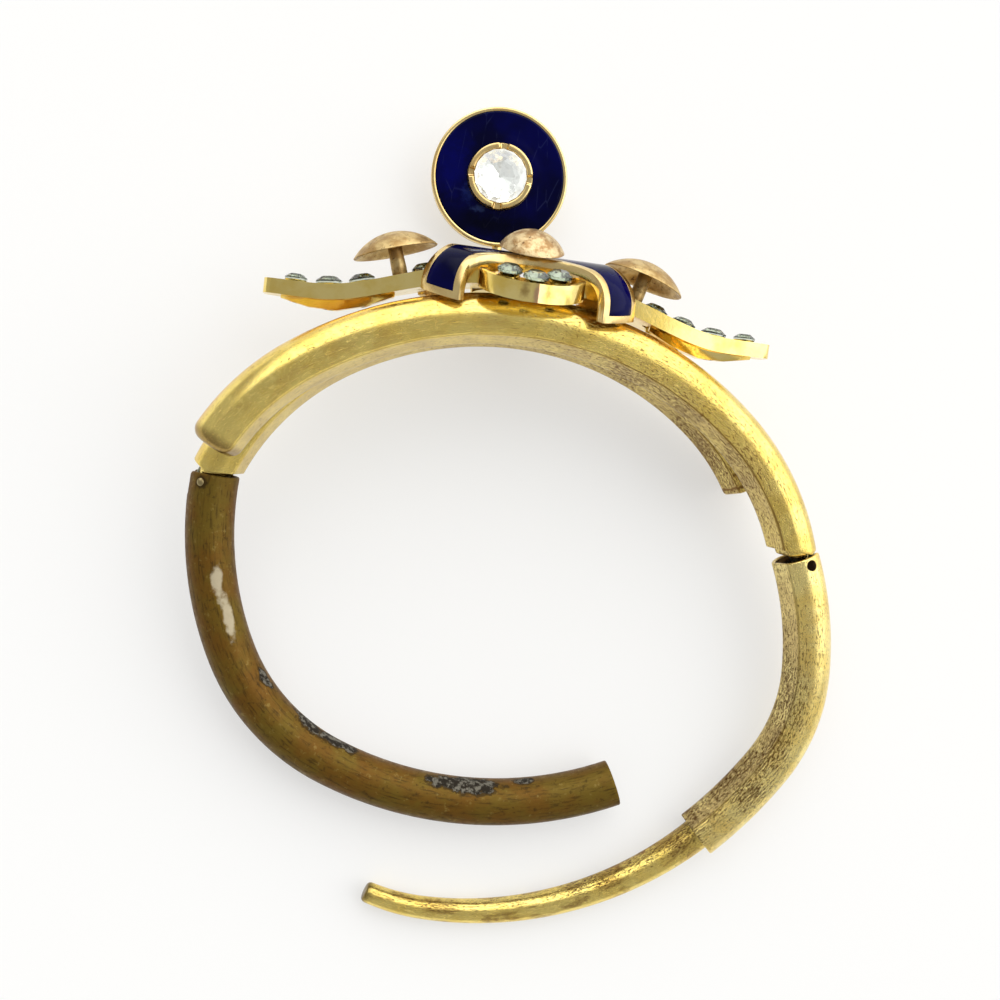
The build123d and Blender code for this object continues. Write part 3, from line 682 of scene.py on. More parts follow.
@dataclass(frozen=True)
class Lacquer:
    """Olive-brown lacquer over gilding, mottled, with bared patches, painted highlights and painted shade down
    both lower sides.
    """

    name: str
    patches: tuple[Patch, ...]
    olive: Colour = (0.150, 0.096, 0.012)
    brown: Colour = (0.150, 0.070, 0.008)
    painted_side_shade: Colour = (0.115, 0.048, 0.006)
    deep: Colour = (0.045, 0.025, 0.004)
    fleck: Colour = (0.34, 0.25, 0.07)
    highlight_cream: Colour = (0.52, 0.45, 0.31)
    bare: Colour = (0.17, 0.16, 0.13)
    soot: Colour = (0.02, 0.017, 0.013)
    spots: tuple[Spot, ...] = ()

    def patch_mask(self, recipe: Recipe, patch: Patch, ragged: Socket,
                   grow: tuple[float, float] = (1.0, 1.0)) -> Socket:
        """Mask of one patch: an oval about its centre whose edge a noise breaks up.

        Args:
            recipe: the material in the making.
            patch: the worn place.
            ragged: noise that breaks the edge.
            grow: factors on the half length and the half width.

        Returns:
            0.9 on the patch and 0 off it.
        """
        half = (grow[0] * patch.half_length, grow[1] * patch.half_width, 1)
        far = recipe.from_centre(recipe.laid(), (patch.run, patch.girth, 0), half)
        broken = recipe.plus(far, recipe.ramp(ragged, 0.25, 0.75, -0.35, 0.35))
        return recipe.ramp(broken, 0.5 if patch.pale else 0.9, 1.1, 0.9, 0.0)

    def material(self) -> Finish:
        """Builds the finish: two browns in clouds, a third brown painted down both lower sides as painted
        shade, and fine mottle, then the patches over them, the pale ones painted highlights.

        Returns:
            The material.
        """
        recipe = Recipe(self.name)
        solid = recipe.solid()
        clouds = recipe.noise(solid, 210, 5, 0.62)
        mottle = recipe.noise(solid, 1500, 4, 0.7)
        hair = recipe.noise(recipe.laid(7.0), 3.2, 4, 0.65)
        colour = recipe.blend(recipe.ramp(clouds, 0.36, 0.64), self.olive, self.brown)
        girth = recipe.plus(recipe.run_girth()[1], recipe.times(recipe.noise(recipe.laid(8.0), 0.9, 3), 2.4))
        # Painted shade: darker brown down the lower outer and inner sides of the arm.
        for share, tone in ((recipe.ramp(girth, 5.2, 7.2, 0.8, 0.0), self.painted_side_shade),
                            (recipe.ramp(girth, 11.6, 12.8, 0.0, 0.55), self.painted_side_shade),
                            (recipe.ramp(hair, 0.48, 0.70, 0.0, 0.75), self.deep),
                            (recipe.ramp(mottle, 0.56, 0.72, 0.0, 0.7), self.deep),
                            (recipe.ramp(mottle, 0.42, 0.30, 0.0, 0.35), self.fleck)):
            colour = recipe.blend(share, colour, tone)
        ragged = recipe.noise(recipe.laid(), 0.8, 4, 0.55)
        pitted = recipe.blend(recipe.ramp(mottle, 0.42, 0.54), self.bare, self.soot)
        worn: object = 0.0
        for patch in self.patches:
            mask = self.patch_mask(recipe, patch, ragged)
            if not patch.pale:
                wider = self.patch_mask(recipe, patch, ragged, (1.2, 1.35))
                colour = recipe.blend(wider, colour, self.deep)
            # Pale patches are painted highlights, the others bared metal; the worn mask below takes both.
            colour = recipe.blend(mask, colour, self.highlight_cream if patch.pale else pitted)
            worn = recipe.most(worn, mask)
        # Painted shadow ring round the left rivet.
        for spot in self.spots:
            colour = recipe.blend(recipe.spot_mask(spot), colour, spot.colour)
        gloss = recipe.ramp(mottle, 0.3, 0.7, 0.36, 0.55)
        swell = recipe.relief(recipe.noise(solid, 160, 3, 0.5), 0.08)
        return recipe.shade({"Base Color": colour, "Metallic": 0.35, "Specular IOR Level": 0.15,
                             "Roughness": recipe.plus(gloss, recipe.times(worn, 0.2)),
                             "Normal": recipe.relief(worn, -0.04, recipe.relief(mottle, 0.012, swell))})


@dataclass(frozen=True)
class Brushed:
    """Matt brushed gold of the domes, browned in blotches."""

    name: str = "dome_gold"
    light: Colour = (0.68, 0.51, 0.23)
    brown: Colour = (0.42, 0.26, 0.09)
    dark: Colour = (0.09, 0.045, 0.02)
    blotches: float = 420

    def material(self) -> Finish:
        """Builds the finish: brush marks, blotches and pits."""
        recipe = Recipe(self.name)
        solid = recipe.solid()
        blotch = recipe.noise(solid, self.blotches, 5, 0.65)
        pits = recipe.noise(solid, 2600, 3, 0.65)
        colour = recipe.blend(recipe.ramp(blotch, 0.40, 0.60), self.light, self.brown)
        pitted = recipe.ramp(pits, 0.60, 0.70, 0.0, 0.8)
        return recipe.shade({"Base Color": recipe.blend(pitted, colour, self.dark),
                             "Metallic": 0.95,
                             "Roughness": recipe.ramp(recipe.noise(solid, 1300, 4, 0.7), 0.3, 0.7, 0.34, 0.55),
                             "Normal": recipe.relief(pits, 0.035, recipe.relief(blotch, 0.10))})


@dataclass(frozen=True)
class Vitreous:
    """Navy enamel, glossy, with a few hair scratches, duller clouds and, where spots are given, painted shade
    and highlights.
    """

    name: str = "navy_enamel"
    navy: Colour = (0.0008, 0.001, 0.055)
    ink: Colour = (0.0005, 0.0006, 0.018)
    scratch: Colour = (0.05, 0.07, 0.22)
    spots: tuple[Spot, ...] = ()

    def material(self) -> Finish:
        """Builds the finish: two navies in clouds, scratches along the edges of drawn-out cells, and spots of
        painted shade and highlights.

        Returns:
            The material.
        """
        recipe = Recipe(self.name)
        solid = recipe.solid()
        clouds = recipe.noise(solid, 180, 3, 0.5)
        drawn = recipe.node("ShaderNodeMapping", {"Vector": solid, "Rotation": (0.3, 0.2, 0.7),
                                                  "Scale": (1.0, 0.16, 1.0)}).outputs["Vector"]
        cells = recipe.node("ShaderNodeTexVoronoi", {"Vector": drawn, "Scale": 700}, feature="DISTANCE_TO_EDGE")
        cut = recipe.times(recipe.ramp(cells.outputs["Distance"], 0.0, 0.03, 1.0, 0.0),
                           recipe.ramp(recipe.noise(solid, 330, 2), 0.52, 0.62))
        colour = recipe.blend(recipe.ramp(clouds, 0.35, 0.65), self.navy, self.ink)
        colour = recipe.blend(recipe.times(cut, 0.12), colour, self.scratch)
        # Painted shade and painted highlights on the enamel.
        for spot in self.spots:
            colour = recipe.blend(recipe.spot_mask(spot), colour, spot.colour)
        dull = recipe.ramp(clouds, 0.3, 0.7, 0.05, 0.12)
        return recipe.shade({"Base Color": colour, "Specular IOR Level": 0.07,
                             "Roughness": recipe.plus(dull, recipe.times(cut, 0.35)),
                             "Normal": recipe.relief(recipe.noise(solid, 260, 2, 0.4), 0.03)})


@dataclass(frozen=True)
class Paste:
    """Clear cut glass, faintly tinted, with a smudge of haze."""

    name: str
    tint: Colour = (0.95, 0.98, 0.97)
    shade: Colour = (0.86, 0.93, 0.91)

    def material(self) -> Finish:
        """Builds the finish: transmission with a faint cloud in its tint and gloss."""
        recipe = Recipe(self.name)
        clouds = recipe.noise(recipe.solid(), 900, 2, 0.5)
        return recipe.shade({"Base Color": recipe.blend(clouds, self.tint, self.shade),
                             "Transmission Weight": 1.0, "IOR": 1.6,
                             "Roughness": recipe.ramp(clouds, 0.4, 0.8, 0.0, 0.05)})


@dataclass(frozen=True)
class Foil:
    """Silvered back of a cut stone, a little tarnished, glowing where a painted glow is given."""

    name: str
    silver: Colour = (0.93, 0.93, 0.91)
    grey: Colour = (0.45, 0.45, 0.42)
    painted_glow: float = 0.0

    def material(self) -> Finish:
        """Builds the finish: bright metal, greyed in spots, with its painted glow."""
        recipe = Recipe(self.name)
        spots = recipe.noise(recipe.solid(), 1100, 3, 0.6)
        share = recipe.ramp(spots, 0.5, 0.75, 0.0, 0.8)
        return recipe.shade({"Base Color": recipe.blend(share, self.silver, self.grey), "Metallic": 1.0,
                             "Roughness": recipe.ramp(spots, 0.3, 0.8, 0.03, 0.2),
                             "Emission Color": (1.0, 0.98, 0.95), "Emission Strength": self.painted_glow})


LEFT_ARM_PATCHES = (
    Patch(11.2, 8.7, 2.2, 0.62, True),
    Patch(15.2, 9.1, 2.9, 0.62, True),
    Patch(23.1, 10.6, 1.4, 0.5, False),
    Patch(30.9, 11.2, 2.0, 0.8, False),
    Patch(35.0, 11.2, 2.2, 0.7, False),
    Patch(50.2, 10.6, 3.9, 1.05, False),
    Patch(57.2, 11.2, 1.0, 0.5, False),
)
# Painted shadow ring round the left rivet, where the hole's edge would be shaded.
LEFT_RIVET_PAINTED_SHADOW_RING = (
    Spot((-32.7, 4.8, 2.35), (0.85, 0.85, 0.8), (0.035, 0.018, 0.004), 0.85, 0.15, 0.4),
)
# A brown stain round the right rivet, and painted shade: a matt black disc standing for its hole.
RIGHT_RIVET_STAIN_AND_HOLE_SHADE = (
    Spot((32.55, 4.8, 2.5), (0.9, 0.9, 0.9), (0.30, 0.16, 0.04), 0.5),
    Spot((32.55, 4.8, 2.5), (0.66, 0.66, 0.9), (0.012, 0.006, 0.003), 1.0, 0.05, 0.12, True),
)
TONGUE_STAINS = (
    Spot((15.9, -31.2, 0.0), (2.2, 1.1, 4.0), (0.22, 0.09, 0.016), 0.8, 0.45, 0.7),
    Spot((18.2, -29.6, 0.0), (2.2, 1.1, 4.0), (0.22, 0.09, 0.016), 0.85, 0.45, 0.7),
    Spot((20.0, -28.1, 0.0), (1.6, 1.1, 4.0), (0.26, 0.12, 0.02), 0.8, 0.45, 0.7),
    Spot((3.9, -35.4, 0.0), (1.2, 0.6, 4.0), (0.10, 0.04, 0.008), 0.85, 0.4, 0.6),
)
# Painted shade on the disc's enamel, darker towards its bottom, and painted highlights in lighter blue.
DISC_PAINTED_SHADE_AND_HIGHLIGHTS = (
    Spot((-6.0, 36.5, -7.4), (6.5, 2.6, 2.0), (0.0003, 0.0004, 0.004), 0.9, 0.1, 0.9),
    Spot((-11.2, 42.0, -7.4), (2.6, 4.5, 2.0), (0.001, 0.0015, 0.10), 0.7, 0.15, 0.9),
    Spot((-9.4, 39.6, -7.4), (1.0, 1.5, 2.0), (0.012, 0.025, 0.17), 0.65, 0.35, 0.9),
    Spot((-8.2, 38.1, -7.4), (0.9, 0.5, 2.0), (0.030, 0.05, 0.16), 0.6, 0.4, 0.8),
)
# Painted reflection on the near leaf's ridge, pink, and painted shade in the flutes beside it.
LEAF_RIDGE_REFLECTION_AND_FLUTE_SHADE = (
    Spot((-2.5, 28.0, 10.2), (0.45, 1.7, 1.4), (0.70, 0.42, 0.26), 0.85, 0.2, 0.7),
    Spot((-3.7, 28.3, 9.9), (0.7, 1.3, 1.4), (0.34, 0.20, 0.05), 0.75, 0.2, 0.9),
    Spot((-1.3, 28.3, 9.9), (0.7, 1.3, 1.4), (0.34, 0.20, 0.05), 0.75, 0.2, 0.9),
)


class Finishes:
    """All the finishes of the bangle, each made once."""

    def __init__(self, near_end: float, far_end: float, tongue_end: float) -> None:
        """Makes every material.

        Args:
            near_end: run at which the near tube ends.
            far_end: run at which the far tube ends.
            tongue_end: run at which the tongue ends.
        """
        gilding = {
            "near_tube": Gilt("near_tube_gilding", streaks=0.6, laid=True, worn_from=22, worn_to=52,
                              polish=0.13, haze=0.1, end_shade=near_end, creased=True),
            "far_tube": Gilt("far_tube_gilding", streaks=0.7, laid=True, worn_from=60, worn_to=20,
                             polish=0.13, haze=0.1, seam_run=far_end - 0.5, creased=True),
            "right_arm": Gilt("right_arm_gilding", bright=(1.0, 0.83, 0.33), shade=(0.95, 0.72, 0.22),
                              tarnish=(0.10, 0.042, 0.008), speck_share=0.6, streaks=1.2, haze=0.12,
                              speck_size=0.3, laid=True, worn_from=55, worn_to=-25, creased=True,
                              inner_girth=8.2, spots=RIGHT_RIVET_STAIN_AND_HOLE_SHADE),
            "tongue": Gilt("tongue_gilding", tarnish=(0.10, 0.042, 0.008), streaks=1.1, film=0.85,
                           film_tone=(0.24, 0.10, 0.018), polish=0.14, haze=0.12, laid=True, worn_from=-10,
                           worn_to=60, inner_girth=7.4, end_shade=tongue_end - 0.3,
                           end_shade_tone=(0.045, 0.018, 0.006), spots=TONGUE_STAINS),
            "leaf": Gilt("leaf_gilding", bright=(0.97, 0.78, 0.30), speck_share=0.18, polish=0.12, haze=0.08,
                         swell=0.015, spots=LEAF_RIDGE_REFLECTION_AND_FLUTE_SHADE),
            "rim": Gilt("rim_gilding", bright=(0.90, 0.70, 0.32), shade=(0.72, 0.50, 0.20), polish=0.16,
                        swell=0.015),
            "rivet": Gilt("rivet_metal", bright=(0.42, 0.34, 0.17), shade=(0.22, 0.16, 0.07), speck_share=0.5,
                          polish=0.3, swell=0.0),
            # Painted shade: the right rivet is near black, standing for the shade inside a hole.
            "hole": Gilt("rivet_painted_hole_shade", bright=(0.03, 0.016, 0.008), shade=(0.012, 0.006, 0.003), polish=0.6,
                         swell=0.0),
            "tab": Gilt("tab_metal", bright=(0.34, 0.34, 0.24), shade=(0.2, 0.2, 0.14), speck_share=0.5,
                        polish=0.3, swell=0.01),
        }
        (self.near_tube, self.far_tube, self.right_arm, self.tongue, self.leaf, self.rim, self.rivet, self.hole,
         self.tab) = (gilt.material() for gilt in gilding.values())
        self.inside = Inside().material()
        self.lacquer = Lacquer("lacquered_gilding", LEFT_ARM_PATCHES, spots=LEFT_RIVET_PAINTED_SHADOW_RING).material()
        self.dome = Brushed().material()
        self.mottled_dome = Brushed("mottled_dome_gold", light=(0.70, 0.55, 0.31), brown=(0.40, 0.24, 0.10),
                                    blotches=900).material()
        self.enamel = Vitreous().material()
        self.disc_enamel = Vitreous("disc_enamel_navy", spots=DISC_PAINTED_SHADE_AND_HIGHLIGHTS).material()
        self.paste = Paste("clear_glass").material()
        # The clear stones' foil glows a little: painted glow.
        self.foil = Foil("bright_foil", painted_glow=0.34).material()
        self.smoky = Paste("smoky_glass", tint=(0.74, 0.79, 0.70), shade=(0.50, 0.56, 0.47)).material()
        self.dull_foil = Foil("dull_foil", silver=(0.44, 0.47, 0.40), grey=(0.08, 0.09, 0.07)).material()


def dress(piece: Piece, body: Body, slot: Slot, *materials: Finish) -> None:
    """Gives a piece its materials and its body, and reports it.

    Args:
        piece: the new object.
        body: body that it rides on.
        slot: slot of the record that its finish belongs to; not used.
        *materials: finishes in the order of the mesh's material numbers.
    """
    for material in materials:
        piece.data.materials.append(material)
    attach(piece, body.value)
    LOG.info("%s: %d faces on %s", piece.name, len(piece.data.polygons), body.value)


# The band


@dataclass(frozen=True)
class Route:
    """Line of a tube in its own plane: a straight lead and then arcs, each running on from the last.

    Each bend is a radius in millimetres and a turn in degrees, to the left where it is positive.
    """

    start: tuple[float, float]
    heading: float
    bends: tuple[tuple[float, float], ...]
    lead: float = 0.0

    def length(self) -> float:
        """Length of the lead and all the arcs."""
        return self.lead + sum(radius * abs(np.radians(turn)) for radius, turn in self.bends)

    def follow(self, runs: Array) -> tuple[Array, Array]:
        """Points and unit tangents at given runs; before the start and past the end the line runs straight.

        On an arc the heading grows evenly with the run, and the point is the arc's centre plus the radius
        turned by that heading.

        Args:
            runs: distances along the line, of any shape.

        Returns:
            Points and tangents, each with a last axis of two.
        """
        heading = np.radians(self.heading)
        tangent = np.array([np.cos(heading), np.sin(heading)])
        points = np.array(self.start) + runs[..., None] * tangent
        tangents = np.broadcast_to(tangent, points.shape).copy()
        corner = np.array(self.start) + self.lead * tangent
        gone = self.lead
        for radius, turn in self.bends:
            hand, arc = np.sign(turn), radius * abs(np.radians(turn))
            angle = heading + hand * np.clip(runs - gone, 0, arc) / radius
            direction = np.stack([np.cos(angle), np.sin(angle)], -1)
            bend = np.stack([np.sin(angle) - np.sin(heading), np.cos(heading) - np.cos(angle)], -1)
            past = np.maximum(runs - gone - arc, 0)[..., None] * direction
            on = (runs > gone)[..., None]
            points = np.where(on, corner + radius * hand * bend + past, points)
            tangents = np.where(on, direction, tangents)
            end = heading + np.radians(turn)
            chord = np.array([np.sin(end) - np.sin(heading), np.cos(heading) - np.cos(end)])
            corner = corner + radius * hand * chord
            heading, gone = end, gone + arc
        return points, tangents


@dataclass(frozen=True)
class Slant:
    """Plane of a route, tipped about Y so that it crosses the arm at a slant."""

    origin_x: float = 0.0
    degrees: float = 0.0

    def place(self, flat_points: Array, up: Array) -> Array:
        """Points of the route's plane, raised off it, in the flat drawing."""
        c, s = cos_sin(self.degrees)
        across = flat_points[..., 0]
        return np.stack([self.origin_x + across * c + up * s, flat_points[..., 1], up * c - across * s], -1)


class End(Enum):
    """How a tube ends."""

    CLOSED = "closed"
    OPEN = "open"
    TIP = "tip"


@dataclass(frozen=True)
class Tube:
    """Hollow tube or solid tip carried along a route, round or flattened on the side of the wrist."""

    name: str
    route: Route
    slant: Slant
    outward: int
    radius: float
    flat: float | None
    wall: float = 0.45
    end: End = End.CLOSED
    depth: float = 7.0
    edge: float = 0.16
    rings: int = 200
    columns: int = 96
    mitre: int = 0
    mitre_angle: float = 32.0
    corner_inset: float = 0.2
    slot_half: float = 0.95
    slot_beyond: float = 1.5
    shoulder_round: float = 0.6
    narrows: float = 0.0
    bulge: float = 0.0
    blunt: float = 0.5
    flat_roll: float = 21.0
    mouth_reach: float = 9.0

    def section(self, inset: Array, angles: Array) -> tuple[Array, Array]:
        """Outward and upward offsets of a ring.

        The ring is a circle of the radius less the inset. The flat lies on the side of the wrist, rolled
        upward by its angle; where the circle would pass the flat it is held there, with a short soft corner.

        Args:
            inset: how far each ring lies inside the outer face.
            angles: angle of each point round the ring, from straight out.

        Returns:
            Two arrays, one row to a ring.
        """
        radius = np.maximum(self.radius - inset, 0.01)[:, None]
        outward, upward = radius * np.cos(angles), radius * np.sin(angles)
        if self.flat is not None:
            c, s = cos_sin(180 - self.flat_roll)
            level = np.maximum(self.flat - inset, 0.009)[:, None]
            soft = 0.03 * radius / self.radius
            past = soft * np.logaddexp(0, (outward * c + upward * s - level) / soft)
            outward, upward = outward - past * c, upward - past * s
        return outward, upward

    def profile(self) -> tuple[Array, Array, Array]:
        """Rings of the whole shell from the bottom of the bore at the start, round the lip, along the outside.

        Returns:
            The run, the inset and whether the ring is inside, for each ring.
        """
        length, wall, edge = self.route.length(), self.wall, self.edge
        quarter = np.linspace(0, QUARTER, 4)
        lip = [(edge * (1 - np.sin(a)), wall - edge * (1 - np.cos(a))) for a in quarter]
        lip += [(edge * (1 - np.cos(a)), edge * (1 - np.sin(a))) for a in quarter]
        start = [(self.depth, self.radius), (self.depth, wall), (self.depth * 0.6, wall),
                 (self.depth * 0.25, wall), (1.0, wall), *lip]
        if self.mitre:
            start = [(-0.7, self.radius), (-0.7, 1.1), (-0.6, 0.9), (-0.1, 0.85), (0.25, 0.85), *lip]
        body = [(run, 0.0) for run in np.linspace(edge, length - edge, self.rings)[1:-1]]
        if self.end is End.OPEN:
            close = [(length - run, inset) for run, inset in reversed(lip)]
            close += [(length - 1.0, wall), (length - self.depth, wall), (length - self.depth, self.radius)]
        elif self.end is End.CLOSED:
            reach, inward = edge + self.bulge, edge + self.bulge * 0.9
            close = [(length - edge + reach * np.sin(a), inward * (1 - np.cos(a)))
                     for a in np.linspace(0, QUARTER, 14)]
            close += [(length + self.bulge, self.radius * 0.8), (length + self.bulge, self.radius)]
        else:
            start = [(0.0, self.radius), (0.0, 0.2), (0.2, 0.0)]
            body = [(run, 0.0) for run in np.linspace(0.5, length - self.blunt, self.rings)]
            close = [(length - self.blunt * (1 - np.sin(a)), self.blunt * (1 - np.cos(a)))
                     for a in np.linspace(0, QUARTER, 6)[1:]]
            close += [(length, self.radius * 0.7), (length, self.radius)]
        rows = np.array(start + body + close)
        inside = np.zeros(len(rows), bool)
        inside[:5] = not self.mitre and self.end is End.OPEN
        inside[-4:] = self.end is End.OPEN
        return rows[:, 0], rows[:, 1], inside

    def start_run(self, outward: Array, upward: Array) -> Array:
        """Run at which each line along the tube starts, so that the mouth follows its cut.

        A front tube is mitred: the cut is level up to the hinge's corner and rises beyond it. An arm starts
        square, with a slot for the knuckle through its outer wall and a rounded shoulder.

        Args:
            outward: outward offsets of the rings.
            upward: upward offsets of the rings.

        Returns:
            Runs of the same shape.
        """
        runs = np.zeros_like(outward)
        if self.mitre:
            corner, tangent = JOINTS.pivot_x - self.corner_inset, np.tan(np.radians(self.mitre_angle))
            for _ in range(8):
                where = self.points(runs, outward, upward)
                rise = np.maximum(self.mitre * where[..., 0] - corner, 0) * tangent
                runs = runs + (JOINTS.pivot_y + JOINTS.front_gap + rise - where[..., 1])
        elif self.end is End.OPEN:
            slot = (np.abs(upward) < self.slot_half) & (outward > JOINTS.pivot_x - abs(self.route.start[0]))
            shoulder = np.maximum(outward - (self.radius - self.shoulder_round), 0)
            drop = self.shoulder_round - np.sqrt(np.maximum(self.shoulder_round ** 2 - shoulder ** 2, 0))
            runs = np.where(slot, JOINTS.arm_gap + self.slot_beyond, drop)
        return runs

    def points(self, runs: Array, outward: Array, upward: Array) -> Array:
        """Points at runs along the tube with given offsets from its line."""
        line, tangents = self.route.follow(runs)
        out = np.stack([tangents[..., 1], -tangents[..., 0]], -1) * self.outward
        return self.slant.place(line + out * outward[..., None], upward)

    def build(self, swung: bool = False) -> Piece:
        """Carries the section along the route; each line along the tube is shifted near the start to its cut.

        Args:
            swung: True turns the tube open about the right hinge.

        Returns:
            The tube, which stands for the solid of its name, with run and girth as its UV.
        """
        runs, insets, inside = self.profile()
        angles = np.linspace(-QUARTER, 1.5 * np.pi, self.columns, endpoint=False)
        outward, upward = self.section(insets, angles)
        narrow = 1 - self.narrows * np.clip(runs / self.route.length(), 0, 1)[:, None]
        outward, upward = outward * narrow, upward * narrow
        whole = runs[:, None] + np.zeros_like(outward)
        whole = whole + self.start_run(outward, upward) * np.clip(1 - whole / self.mouth_reach, 0, 1) ** 2
        rings = self.points(whole, outward, upward)
        piece = Skin(f"{self.name}_finished", JOINTS.swing(rings) if swung else rings, whole,
                     (angles + QUARTER) * self.radius, inside=inside).build()
        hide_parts(self.name)
        return piece


@dataclass(frozen=True)
class Knuckle:
    """Tab from the pin into the hollow end of a front tube: a closed ring of section round the pin."""

    name: str
    side: int
    radius: float = 1.12
    root_radius: float = 1.7
    root_x: float = 30.3
    reach: float = 3.9
    half_thickness: float = 0.75
    bore: float = 0.51
    edge: float = 0.12

    def build(self) -> Piece:
        """Outline: the hull of two circles, traced by the direction of its normal; section: a rounded bar.

        Returns:
            The tab.
        """
        pivot = np.array([self.side * JOINTS.pivot_x, JOINTS.pivot_y])
        root = np.array([self.side * self.root_x, JOINTS.pivot_y + self.reach])
        angles = np.linspace(0, FULL, 96, endpoint=False)
        normals = np.stack([np.cos(angles), np.sin(angles)], -1)
        on_root = normals @ root + self.root_radius > normals @ pivot + self.radius
        outline = np.where(on_root[:, None], root + normals * self.root_radius, pivot + normals * self.radius)
        ray = unit(outline - pivot)
        hole, rim = pivot + ray * self.bore, pivot + ray * (self.bore + self.edge)
        face = outline - normals * self.edge
        half, level = self.half_thickness, self.half_thickness - self.edge
        levels = ((hole, -level), (rim, -half), (face, -half), (outline, -level),
                  (outline, level), (face, half), (rim, half), (hole, level))
        rings = np.stack([np.concatenate([flat, np.full((96, 1), height)], -1) for flat, height in levels])
        return Skin(self.name, rings, np.arange(len(levels)) * 0.5, angles, ring=True).build()


@dataclass(frozen=True)
class Band:
    """The two front tubes, the two arms, the tongue and the hinges."""

    tube_radius: float = 2.6
    tube_flat: float = 2.3
    arm_radius: float = 2.5
    arm_lead: float = 0.45
    plug_depth: float = 2.3
    tongue_root: float = 1.8
    tongue_tip: float = 1.1
    tongue_sink: float = 3.5
    slant: float = 4.8
    pin_radius: float = 0.45
    pin_half: float = 2.4

    def near_tube(self) -> Tube:
        """Tube from the right hinge over the top to its closed end on the left."""
        route = Route((-1.5, 5.2), 109.5, ((27.6, 32.2), (38.1, 75.7), (24.0, 25.9)))
        return Tube("near_tube", route, Slant(JOINTS.pivot_x, self.slant), 1, self.tube_radius, self.tube_flat,
                    mitre=1, bulge=1.1)

    def far_tube(self) -> Tube:
        """Tube from the left hinge over the top to its closed end on the right."""
        route = Route((0.85, 5.2), 72.6, ((27.4, -39.0), (35.7, -71.4), (25.5, -18.6)))
        return Tube("far_tube", route, Slant(-JOINTS.pivot_x, self.slant), -1, self.tube_radius, self.tube_flat,
                    mitre=-1, bulge=0.3)

    def left_arm(self) -> Tube:
        """Round arm with an open mouth that takes the tongue."""
        route = Route((-31.7, JOINTS.pivot_y + JOINTS.arm_gap), 267.5,
                      ((35.9, 30.0), (22.3, 40.6), (39.0, 47.5)), self.arm_lead)
        return Tube("left_arm", route, Slant(), 1, self.arm_radius, None, end=End.OPEN)

    def right_arm(self) -> Tube:
        """Flattened arm that carries the tongue in its end."""
        route = Route((31.7, JOINTS.pivot_y + JOINTS.arm_gap), -84.9,
                      ((35.4, -20.9), (18.3, -36.0), (47.2, -13.4)), self.arm_lead)
        return Tube("right_arm", route, Slant(), -1, self.tube_radius, self.tube_flat, end=End.OPEN,
                    depth=self.plug_depth)

    def tongue(self) -> Tube:
        """Tongue that runs on from inside the right arm's end, tapering to a blunt tip."""
        arm = self.right_arm().route
        end, tangent = arm.follow(np.array([arm.length()]))
        heading = np.degrees(np.arctan2(tangent[0, 1], tangent[0, 0]))
        route = Route(tuple(end[0] - tangent[0] * self.tongue_sink), heading, ((39.0, -47.5), (22.3, -17.2)),
                      self.tongue_sink)
        return Tube("clasp_tongue", route, Slant(), -1, self.tongue_root, None, end=End.TIP, rings=120,
                    columns=64, narrows=1 - self.tongue_tip / self.tongue_root)

    def pin(self, name: str, side: int) -> Piece:
        """Rivet with softly domed ends; the side is -1 at the left hinge and 1 at the right one."""
        r, h = self.pin_radius, self.pin_half
        rows = np.array([(0.05, -h - 0.04), (r * 0.6, -h), (r * 0.95, -h + 0.1), (r, -h + 0.25), (r, h - 0.25),
                         (r * 0.95, h - 0.1), (r * 0.6, h), (0.05, h + 0.04)])
        return turned(name, rows, Seat(np.array([side * JOINTS.pivot_x, JOINTS.pivot_y, 0]), *np.eye(3)), 32)

    def build(self, finishes: Finishes) -> None:
        """Builds and dresses every piece of the band.

        Args:
            finishes: the materials.
        """
        dress(self.near_tube().build(), Body.FRONT, Slot.GOLD, finishes.near_tube, finishes.inside)
        dress(self.far_tube().build(), Body.FRONT, Slot.GOLD, finishes.far_tube, finishes.inside)
        for name, side in (("knuckle_right", 1), ("knuckle_left", -1)):
            dress(Knuckle(name, side).build(), Body.FRONT, Slot.GOLD, finishes.tab)
        dress(self.left_arm().build(), Body.LEFT_ARM, Slot.LACQUERED, finishes.lacquer, finishes.inside)
        dress(self.right_arm().build(True), Body.RIGHT_ARM, Slot.GOLD, finishes.right_arm, finishes.inside)
        dress(self.tongue().build(True), Body.RIGHT_ARM, Slot.GOLD, finishes.tongue)
        # The right rivet takes the near-black finish, painted shade of a hole.
        for name, node, side, body, metal in (
                ("rivet_left", "hinge_pin_left", -1, Body.LEFT_ARM, finishes.rivet),
                ("rivet_right", "hinge_pin_right", 1, Body.RIGHT_ARM, finishes.hole)):
            piece = self.pin(name, side)
            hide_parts(node)
            dress(piece, body, Slot.RIVETS, metal)


# The flower


